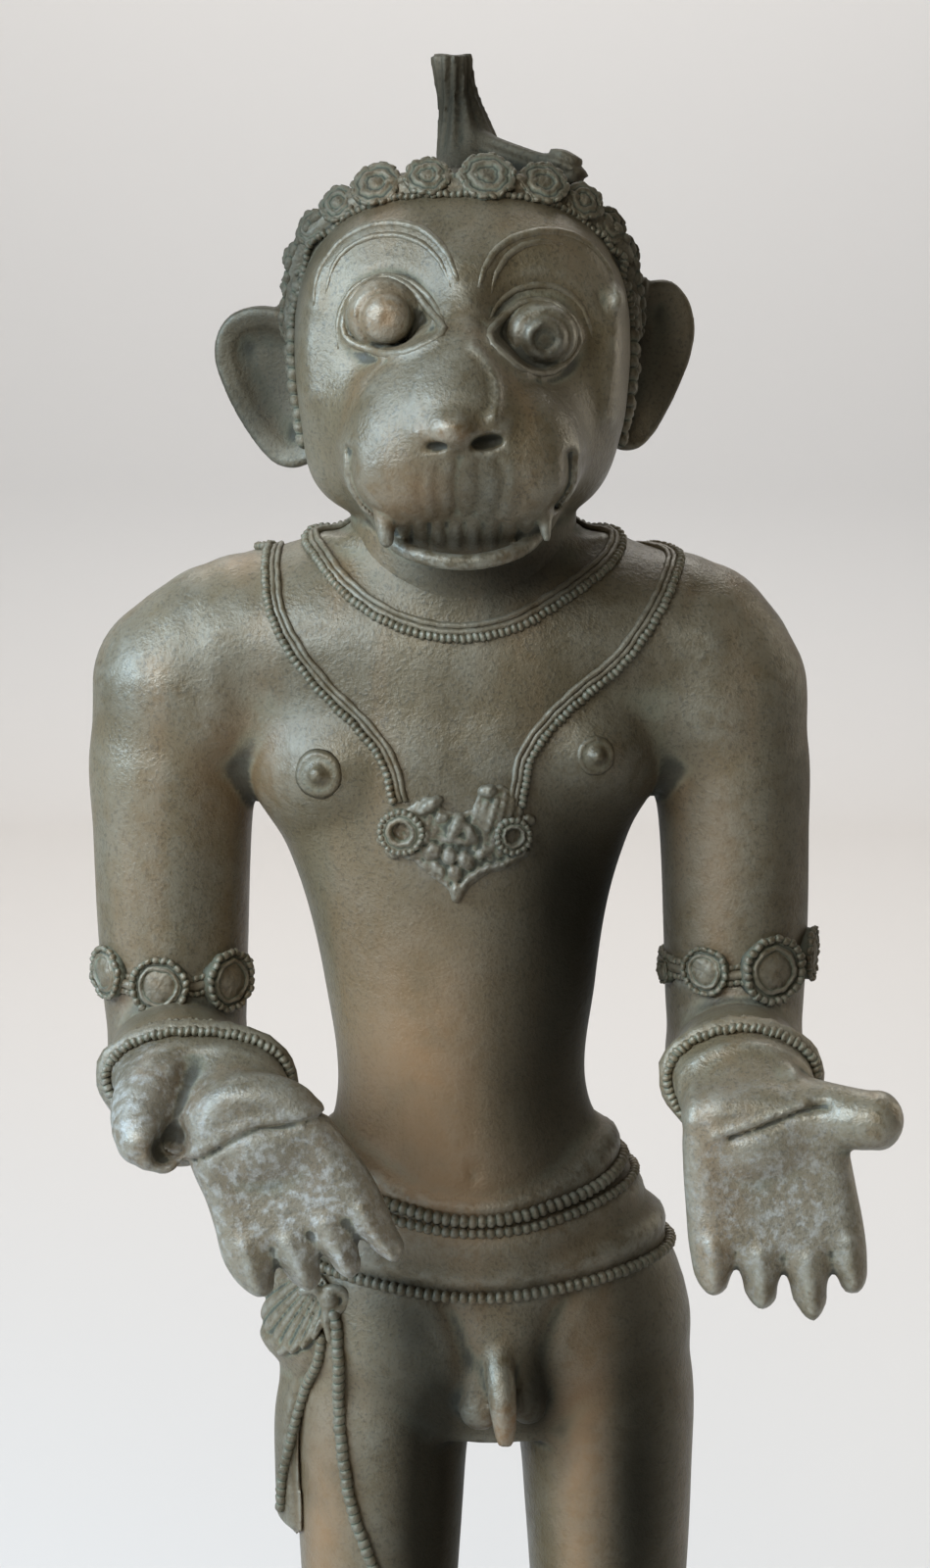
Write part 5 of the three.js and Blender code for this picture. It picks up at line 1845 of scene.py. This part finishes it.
# The sash at the hip: the outlines of its fan and of its panel, the fan's hem and the cords beside them
FAN = [
    (-60, 347), (-49, 344.5), (-45.6, 344.6), (-40.7, 347), (-35, 349), (-32.4, 344), (-34.2, 337),
    (-36.8, 332.6), (-40, 329.4), (-44, 326.2), (-47.6, 323.6), (-51, 322.6), (-60, 322),
]
HEM = [(-60, 322), (-48.5, 323), (-44, 326.2), (-40, 329.4), (-36.8, 332.6), (-34.2, 337)]
PANEL = [
    (-60, 330), (-48, 332), (-35, 333.5), (-35.9, 327.2), (-38.6, 318.2), (-40.6, 309), (-41.4, 301.2),
    (-41.2, 291.5), (-40.6, 282.5), (-41.4, 276.6), (-48, 275.4), (-60, 276),
]
PANEL_ROPE = [
    (-34.4, -20, 333.5), (-35.6, -19, 327.2), (-38.8, -16, 318.2), (-41.6, -13, 309), (-43.6, -10, 301.2),
    (-45.2, -8, 291), (-45.8, -7, 282.6),
]
LONG_ROPE = [
    (-32.6, -23, 345.4), (-30.9, -24, 339.5), (-30.1, -24, 329), (-30, -24, 315.8), (-29, -25, 302.9),
    (-26.8, -25, 289.5), (-23.6, -26, 279.9), (-21, -26, 272), (-19, -26, 262), (-18, -26, 251),
    (-17.6, -26, 240),
]
# The loop and the two ends of the knot, from its middle
BOW = (
    [(-2, 0, 1.2), (1.2, -0.6, 2.6), (3.8, -0.4, 1.6), (4.2, 0, -1.2), (2, -0.4, -2.8), (-0.6, 0, -2.6)],
    [(0, 0, 0), (-0.4, -0.8, -4.6), (0.6, 0, -10.4)],
    [(-1, 0, 0), (-3.6, -0.4, 2.6), (-6.4, 0.6, 1.8)],
)
# The tassel's profile: radius, height, how hollow
TASSEL = [(1.2, -2, 0), (2.2, 0, 0), (2.6, 3, 0), (2.2, 7, 0), (2.6, 9, 0), (2.2, 9.4, 0)]


def fan(x, y, z, leg):
    """The pleats that spread from the knot, as a sheet on the thigh."""
    round_knot = np.arctan2(-(x + 30) + 0.75 * (y + 24), 356 - z)
    drop = np.clip((346 - z) / 24, 0, 1)
    hem = bump(stroke(HEM, 30)(x, z) - 1.4, 1, 1)
    thick = 0.8 + 1.0 * drop**1.3 + 1.3 * np.abs(np.sin(26 * round_knot)) ** 0.7 + hem
    return np.maximum(np.maximum(leg - thick, outline(FAN)(x, z)), y - 6)


def panel(x, y, z, leg):
    """The hanging end of the sash, which lies in folds on the side of the thigh."""
    lean = (x + 46) * 0.6 + 0.35 * (y + 10) + 0.12 * (z - 300)
    fold = 0.5 * np.sin(0.95 * lean) + 2.2 * np.clip((332 - z) / 56, 0, 1) * step_up(y, -13, 0)
    edge = outline(PANEL)(x, z)
    thick = (2.0 + fold + 1.4 * step_up(y, -16, -5)) * (0.3 + 0.7 * step_up(-edge, 0, 4))
    return np.maximum(np.maximum(leg - thick, edge), y - 4)


def lay_sash_cords(sash, legs):
    """The cord down the panel's edge, and the long cord with its tassel."""
    trim = Trim()
    edge, out = sash.seen(PANEL_ROPE)
    trim.cord(edge + 0.7 * out, out, 1.45, 8, 2.3, 0.28)
    rope, out = legs.seen(LONG_ROPE)
    trim.cord(rope + 1.1 * out, out, 1.65, 8, 2.3, 0.26)
    trim.turned(rope[-1] + 1.2 * out[-1], (0, 0, -1), TASSEL, 18, 6, 0.2, up=(0, 1, 0))
    trim.finish("sash_cords", trim_finish(), 0.1)


class BRONZE_OT_drape_sash(bpy.types.Operator):
    """Models the tied sash at the hip with its pleated fan and hanging ends."""

    bl_idname = "bronze.drape_sash"
    bl_label = "Sash"

    def execute(self, context):
        legs = made("legs")
        clay = Clay((-62, -48, 266), (-14, 18, 358), context.scene.bronze_sizes.sash_step)
        places = clay.places()
        leg = clay.over(legs)
        clay.field = np.minimum(fan(*places, leg), panel(*places, leg)).astype(np.float32)
        knots, outward = legs.seen([(-32.0, -25, 344.6)])
        knot, out = knots[0], outward[0]
        clay.add(egg(knot + 1.2 * out, (2.8, 3, 2.8)), 0.8)
        for bow in BOW:
            clay.add(chain([knot + 1.4 * out + step for step in bow], 1.35, 14), 0.4)
        dressed = clay.twin()
        dressed.field = np.minimum(dressed.field, leg)
        cast(clay, "hip_sash", trim_finish())
        lay_sash_cords(dressed, legs)
        return {"FINISHED"}


# The tail's route up the back: place across and height, in hundredths of the figure's height
TAIL = [(1, 50.6), (1.9, 54), (1.7, 57.6), (0.2, 61), (-1, 64.4), (-0.3, 67.4), (1.6, 68.2), (2.6, 66.4)]


class BRONZE_OT_lay_tail(bpy.types.Operator):
    """Lays the tail up the back."""

    bl_idname = "bronze.lay_tail"
    bl_label = "Tail"

    def execute(self, context):
        clay = made("torso")
        guides = walk([(HUNDREDTH * x, 60.0, level(z)) for x, z in TAIL], 60)
        points, normals = clay.meet(guides, guides * (1, 0, 1))
        start = np.array([at(1, 4.4, 47.6), at(1, 5.2, 49.2)])
        points = np.vstack([start, points + 1.2 * normals])
        normals = np.vstack([[(0, 1, 0)] * 2, normals])
        trim = Trim()
        radii = [*np.linspace(5.4, 3.0, 12), 2.2]
        trim.cord(points, normals, radii, 16, 2.6, 0.07)
        trim.finish("tail", skin_finish(), 0.1)
        return {"FINISHED"}


# The lotus base: height of its foot, depth of its top slab, and how far the slab and the waist stand in
FOOT_HEIGHT = 8.0
SLAB_DEPTH = 7.0
SLAB_INSET = 8.0
WAIST_INSET = 16.0
# Its two rows of petals: shift round the base in petals, how far they stand out, height that they start at
PETAL_ROWS = ((0, 5.2, 0.04), (0.5, 2.6, 0.02))
PETAL_WIDTH = 0.47


def pedestal_rows(radius, top):
    """The pedestal's profile from the foot to the middle of the top: radius, height, one where petals are."""
    neck = top - SLAB_DEPTH
    bell = radius - 6
    waist = radius - WAIST_INSET
    slab = radius - SLAB_INSET
    rows = [
        (radius - 3, 0.0, 0),
        (radius - 0.8, 0.3, 0),
        (radius, 1.2, 0),
        (radius, FOOT_HEIGHT - 1.2, 0),
        (radius - 0.8, FOOT_HEIGHT - 0.2, 0),
        (radius - 3.5, FOOT_HEIGHT, 0),
    ]
    for rise in np.linspace(0, 1, 40):
        rows.append((bell + (waist - bell) * rise**1.6, FOOT_HEIGHT + (neck - FOOT_HEIGHT) * rise, 1))
    rows += [
        (slab - 1.2, neck, 0),
        (slab, neck + 0.8, 0),
        (slab, top - 1.0, 0),
        (slab - 0.9, top - 0.2, 0),
        (slab - 4, top - 0.05, 0),
    ]
    rows += [(r, top, 0) for r in np.linspace(slab - 5, 2, 12)]
    return np.array(rows)


def raise_petals(rows, phase, top):
    """The pedestal's radii with its petals raised, and how hollow it is, by row and by place in a petal."""
    rise = np.clip((rows[:, 1:2] - FOOT_HEIGHT) / (top - SLAB_DEPTH - FOOT_HEIGHT), 0, 1)
    bell = rows[:, 2:]
    swell = np.sin(np.pi * np.clip(rise * 0.86 + 0.1, 0, 1))
    radii = np.repeat(rows[:, :1], len(phase), 1)
    hollow = np.zeros_like(radii)
    for shift, stand, low in PETAL_ROWS:
        u = (phase + shift) % 1 - 0.5
        foot = np.clip(1 - np.clip((low + 0.34 - rise) / 0.34, 0, 1) ** 2.2, 0, 1)
        width = np.maximum(PETAL_WIDTH * foot * np.clip(1.0 - 0.35 * rise, 0, 1), 1e-3)
        inside = np.clip(1 - np.abs(u) / width, -1, 1)
        face = step_up(inside, 0, 0.09)
        dome = np.sqrt(np.clip(1 - (u / width) ** 2, 0, 1))
        rim = bump(inside - 0.12, 0.06, 0.5)
        ridge = bump(u, 0.03, 0.35) * (rise > 0.12)
        height = bell * swell * face * (stand * (0.35 + 0.65 * dome) + rim - ridge)
        # The gaps between petals count as hollow: green crust there, and painted shade
        hollow = np.where(height > 0.4, hollow * 0.2, np.maximum(hollow, bell * 0.9))
        radii = np.maximum(radii, rows[:, :1] + height)
    return radii, hollow


class BRONZE_OT_turn_lotus_base(bpy.types.Operator):
    """Models the round lotus base with its petals and bead rows."""

    bl_idname = "bronze.turn_lotus_base"
    bl_label = "Lotus base"

    def execute(self, context):
        petals = context.scene.bronze_sizes.petal_count
        radius, top = BASE_RADIUS * 1000, BASE_TOP * 1000
        angle = once_round(petals * 48)
        rows = pedestal_rows(radius, top)
        radii, hollow = raise_petals(rows, angle * petals / (2 * np.pi) % 1, top)
        heights = np.repeat(rows[:, 1:2], len(angle), 1)
        vertices = np.stack([radii * np.cos(angle), radii * np.sin(angle), heights], -1).reshape(-1, 3)
        foot = np.arange(len(angle))
        rim = foot + len(vertices) - len(angle)
        faces = [
            tube_faces(len(rows), len(angle)),
            lid(foot, len(vertices), turned_over=True),
            lid(rim, len(vertices) + 1),
        ]
        vertices = np.vstack([vertices, (0, 0, 0), (0, 0, top)])
        shade = np.concatenate([hollow.ravel(), [0, 0]])
        plain = 0 * shade
        wear = {"hollow": shade, "edge": plain, "rubbed": plain, "dust": plain + 0.2, "aged": plain}
        metal = bronze("lotus_base_bronze", palette(), 0.5, 0.6)
        piece = mesh_object("lotus_pedestal", vertices, faces, wear, moved=False)
        settle(piece, metal, "lotus_base", "base_bronze")
        trim = Trim()
        turn = once_round(120)
        outward = np.column_stack([np.cos(turn), np.sin(turn), 0 * turn])
        for reach, height, bead, spacing in (
            (radius - SLAB_INSET + 0.1, top - SLAB_DEPTH + 3.4, 1.9, 4.2),
            (radius - WAIST_INSET + 0.2, top - SLAB_DEPTH - 1.2, 1.5, 3.2),
        ):
            ring = outward * reach + np.array([0, 0, height]) - PLUMB
            trim.cord(ring, outward, bead, 8, spacing, 0.45, True)
        trim.finish("pedestal_beads", metal, node="lotus_base", slot="base_bronze")
        return {"FINISHED"}


# The stage, in metres: how far the floor reaches forwards and back, its half width, and the wall's height
FLOOR_FRONT = 3.4
FLOOR_BACK = 3.0
FLOOR_BREADTH = 6.0
WALL_HEIGHT = 2.0
WALL_BEND = 0.35


def backdrop(colour):
    """The floor, which turns up into a pale wall behind the figure."""
    profile = [(-FLOOR_FRONT, 0.0), (FLOOR_BACK - WALL_BEND, 0.0)]
    for turn in np.linspace(0.08, math.pi / 2, 18):
        back = FLOOR_BACK - WALL_BEND + WALL_BEND * math.sin(turn)
        profile.append((back, WALL_BEND - WALL_BEND * math.cos(turn)))
    profile.append((FLOOR_BACK, WALL_HEIGHT))
    vertices = [(x, y, z) for y, z in profile for x in (-FLOOR_BREADTH, FLOOR_BREADTH)]
    faces = [(2 * i, 2 * i + 1, 2 * i + 3, 2 * i + 2) for i in range(len(profile) - 1)]
    mesh = bpy.data.meshes.new("floor_and_backdrop")
    mesh.from_pydata(vertices, [], faces)
    mesh.shade_smooth()
    sweep = bpy.data.objects.new("floor_and_backdrop", mesh)
    bpy.context.scene.collection.objects.link(sweep)
    wall = bpy.data.materials.new("pale_wall")
    wall.use_nodes = True
    shader = wall.node_tree.nodes["Principled BSDF"]
    shader.inputs["Roughness"].default_value = 0.9
    shader.inputs["Base Color"].default_value = tuple(colour) + (1.0,)
    sweep.data.materials.append(wall)


def point_at(item, place, aim):
    """Puts a lamp or the camera at a place, turned to look at an aim."""
    item.location = place
    item.rotation_euler = (Vector(aim) - Vector(place)).to_track_quat("-Z", "Y").to_euler()
    bpy.context.scene.collection.objects.link(item)


def lamp(name, place, aim, size, power, colour):
    """A rectangular soft light."""
    data = bpy.data.lights.new(name, "AREA")
    data.shape = "RECTANGLE"
    data.size, data.size_y = size
    data.energy = power
    data.color = colour
    point_at(bpy.data.objects.new(name, data), place, aim)


class BRONZE_OT_set_studio(bpy.types.Operator):
    """Sets the floor, the backdrop, the lights and the camera."""

    bl_idname = "bronze.set_studio"
    bl_label = "Studio"

    def execute(self, context):
        studio = context.scene.bronze_studio
        backdrop(studio.wall_colour)
        world = bpy.data.worlds.new("studio_air")
        context.scene.world = world
        world.use_nodes = True
        air = world.node_tree.nodes["Background"]
        air.inputs[0].default_value = (0.95, 0.92, 0.84, 1.0)
        air.inputs[1].default_value = studio.fill
        middle = (0, 0, 0.45)
        lamp("window_left", (-1.3, -0.5, 1.05), middle, (0.7, 1.1), studio.key, (0.56, 0.77, 1.0))
        lamp("room_front", (-0.85, -1.15, 1.2), middle, (0.6, 0.8), studio.front, (0.82, 0.91, 1.0))
        lamp("room_right", (1.1, 0.55, 0.7), (0, 0, 0.4), (0.4, 0.9), studio.side, (1.0, 0.92, 0.78))
        lamp("room_near", (-0.1, -1.5, 1.3), middle, (0.5, 0.5), studio.near, (1.0, 0.94, 0.82))
        lamp("top_soft", (0.0, 0.45, 1.7), (0, 0, 0.5), (1.0, 0.6), studio.top, (1.0, 0.98, 0.95))
        lamp("wall_wash", (0.0, 1.7, 2.4), (0, 2.4, 0.1), (2.6, 1.2), studio.wall, (1.0, 0.97, 0.94))
        data = bpy.data.cameras.new("camera")
        data.lens = studio.lens * 1000
        data.sensor_width = 36.0
        data.sensor_fit = "AUTO"
        data.clip_start, data.clip_end = 0.02, 20
        camera = bpy.data.objects.new("camera", data)
        point_at(camera, home(EYE), home(AIM))
        context.scene.camera = camera
        context.scene.view_settings.view_transform = "Standard"
        context.scene.view_settings.look = "None"
        return {"FINISHED"}


def cell_size(name, piece, default, least):
    """A setting for the cells that a piece's surface is made of."""
    about = "Cell of the %s surface, in millimetres" % piece
    return bpy.props.FloatProperty(name=name, description=about, default=default, min=least)


def gap_size(name, about, default):
    """A setting for how far apart ribs or beads are."""
    return bpy.props.FloatProperty(name=name, description=about, default=default, min=1)


def tint(name, about, default):
    """A setting for a colour."""
    return bpy.props.FloatVectorProperty(
        name=name, description=about, default=default, subtype="COLOR", size=3, min=0, max=1
    )


def power(name, place, default):
    """A setting for the power of a light."""
    about = "Power of the %s" % place
    return bpy.props.FloatProperty(name=name, description=about, default=default, unit="POWER")


class BronzeSizes(bpy.types.PropertyGroup):
    body_step: cell_size("Body detail", "torso's", 1.5, 0.8)
    leg_step: cell_size("Leg detail", "legs'", 1.35, 0.8)
    head_step: cell_size("Head detail", "head's", 0.8, 0.6)
    hand_step: cell_size("Hand detail", "hands'", 0.9, 0.6)
    sash_step: cell_size("Sash detail", "sash's", 0.6, 0.5)
    pendant_step: cell_size("Pendant detail", "pendant's", 0.55, 0.4)
    rib_spacing: gap_size("Belt ribs", "Spacing of the ribs on the belts, in millimetres", 2.15)
    bead_spacing: gap_size("Beads", "Spacing of the beads on necklaces and armlets, in millimetres", 1.55)
    petal_count: bpy.props.IntProperty(name="Petals", description="Petals round the base", default=12, min=6)


class BronzeColours(bpy.types.PropertyGroup):
    dark: tint("Dark skin", "The darker parts of the bronze", (0.094, 0.071, 0.037))
    skin: tint("Skin", "The main colour of the bronze", (0.156, 0.119, 0.066))
    grey: tint("Grey", "The cool grey clouds in the patina", (0.162, 0.141, 0.098))
    # Also the colour of the painted warm reflection down the thighs
    warm: tint("Warm", "The copper brown of rubbed places", (0.232, 0.134, 0.06))
    worn: tint("Worn edges", "The brighter metal on edges", (0.30, 0.285, 0.225))
    # Also the colour of the painted light on the middle of the chest
    dust: tint("Dust", "The pale dust on the hands", (0.37, 0.37, 0.345))
    green: tint("Green", "The pale green in the hollows", (0.17, 0.186, 0.124))
    # The colour of the painted shade in the deepest hollows and in shaded patches, and of small pits
    deep: tint("Deep lines", "The bottom of the deepest lines", (0.022, 0.019, 0.012))


class BronzeStudio(bpy.types.PropertyGroup):
    wall_colour: tint("Wall", "The pale wall and floor", (0.62, 0.595, 0.57))
    key: power("Window light", "cool light from the left", 36)
    front: power("Front light", "cool light from the front left", 22)
    side: power("Right light", "warm light from the right", 4)
    near: power("Near light", "warm light by the camera", 6.5)
    top: power("Top light", "light above", 2)
    wall: power("Wall light", "light on the wall", 64)
    fill: bpy.props.FloatProperty(name="Air", description="Light from all round", default=0.036, min=0)
    lens: bpy.props.FloatProperty(
        name="Lens", description="Focal length of the camera", default=0.0724, unit="LENGTH"
    )


class BRONZE_PT_panel(bpy.types.Panel):
    """Lists the pieces of the bronze and their settings."""

    bl_idname = "BRONZE_PT_panel"
    bl_label = "Temple bronze"
    bl_space_type = "VIEW_3D"
    bl_region_type = "UI"
    bl_category = "Bronze"

    def draw(self, context):
        for group in (context.scene.bronze_sizes, context.scene.bronze_colours, context.scene.bronze_studio):
            for key in group.__annotations__:
                self.layout.prop(group, key)
        for operator in OPERATORS:
            self.layout.operator(operator.bl_idname)


OPERATORS = (
    BRONZE_OT_sculpt_torso,
    BRONZE_OT_sculpt_legs,
    BRONZE_OT_sculpt_head,
    BRONZE_OT_sculpt_hands,
    BRONZE_OT_tie_belts,
    BRONZE_OT_hang_necklaces,
    BRONZE_OT_fix_armlets,
    BRONZE_OT_set_hair_band,
    BRONZE_OT_drape_sash,
    BRONZE_OT_lay_tail,
    BRONZE_OT_turn_lotus_base,
    BRONZE_OT_set_studio,
)
CLASSES = (BronzeSizes, BronzeColours, BronzeStudio) + OPERATORS + (BRONZE_PT_panel,)


def register():
    for item in CLASSES:
        bpy.utils.register_class(item)
    bpy.types.Scene.bronze_sizes = bpy.props.PointerProperty(type=BronzeSizes)
    bpy.types.Scene.bronze_colours = bpy.props.PointerProperty(type=BronzeColours)
    bpy.types.Scene.bronze_studio = bpy.props.PointerProperty(type=BronzeStudio)


def unregister():
    del bpy.types.Scene.bronze_studio
    del bpy.types.Scene.bronze_colours
    del bpy.types.Scene.bronze_sizes
    for item in reversed(CLASSES):
        bpy.utils.unregister_class(item)


def main():
    """Makes every piece."""
    register()
    for operator in OPERATORS:
        group, name = operator.bl_idname.split(".")
        getattr(getattr(bpy.ops, group), name)()


if __name__ == "__main__":
    main()
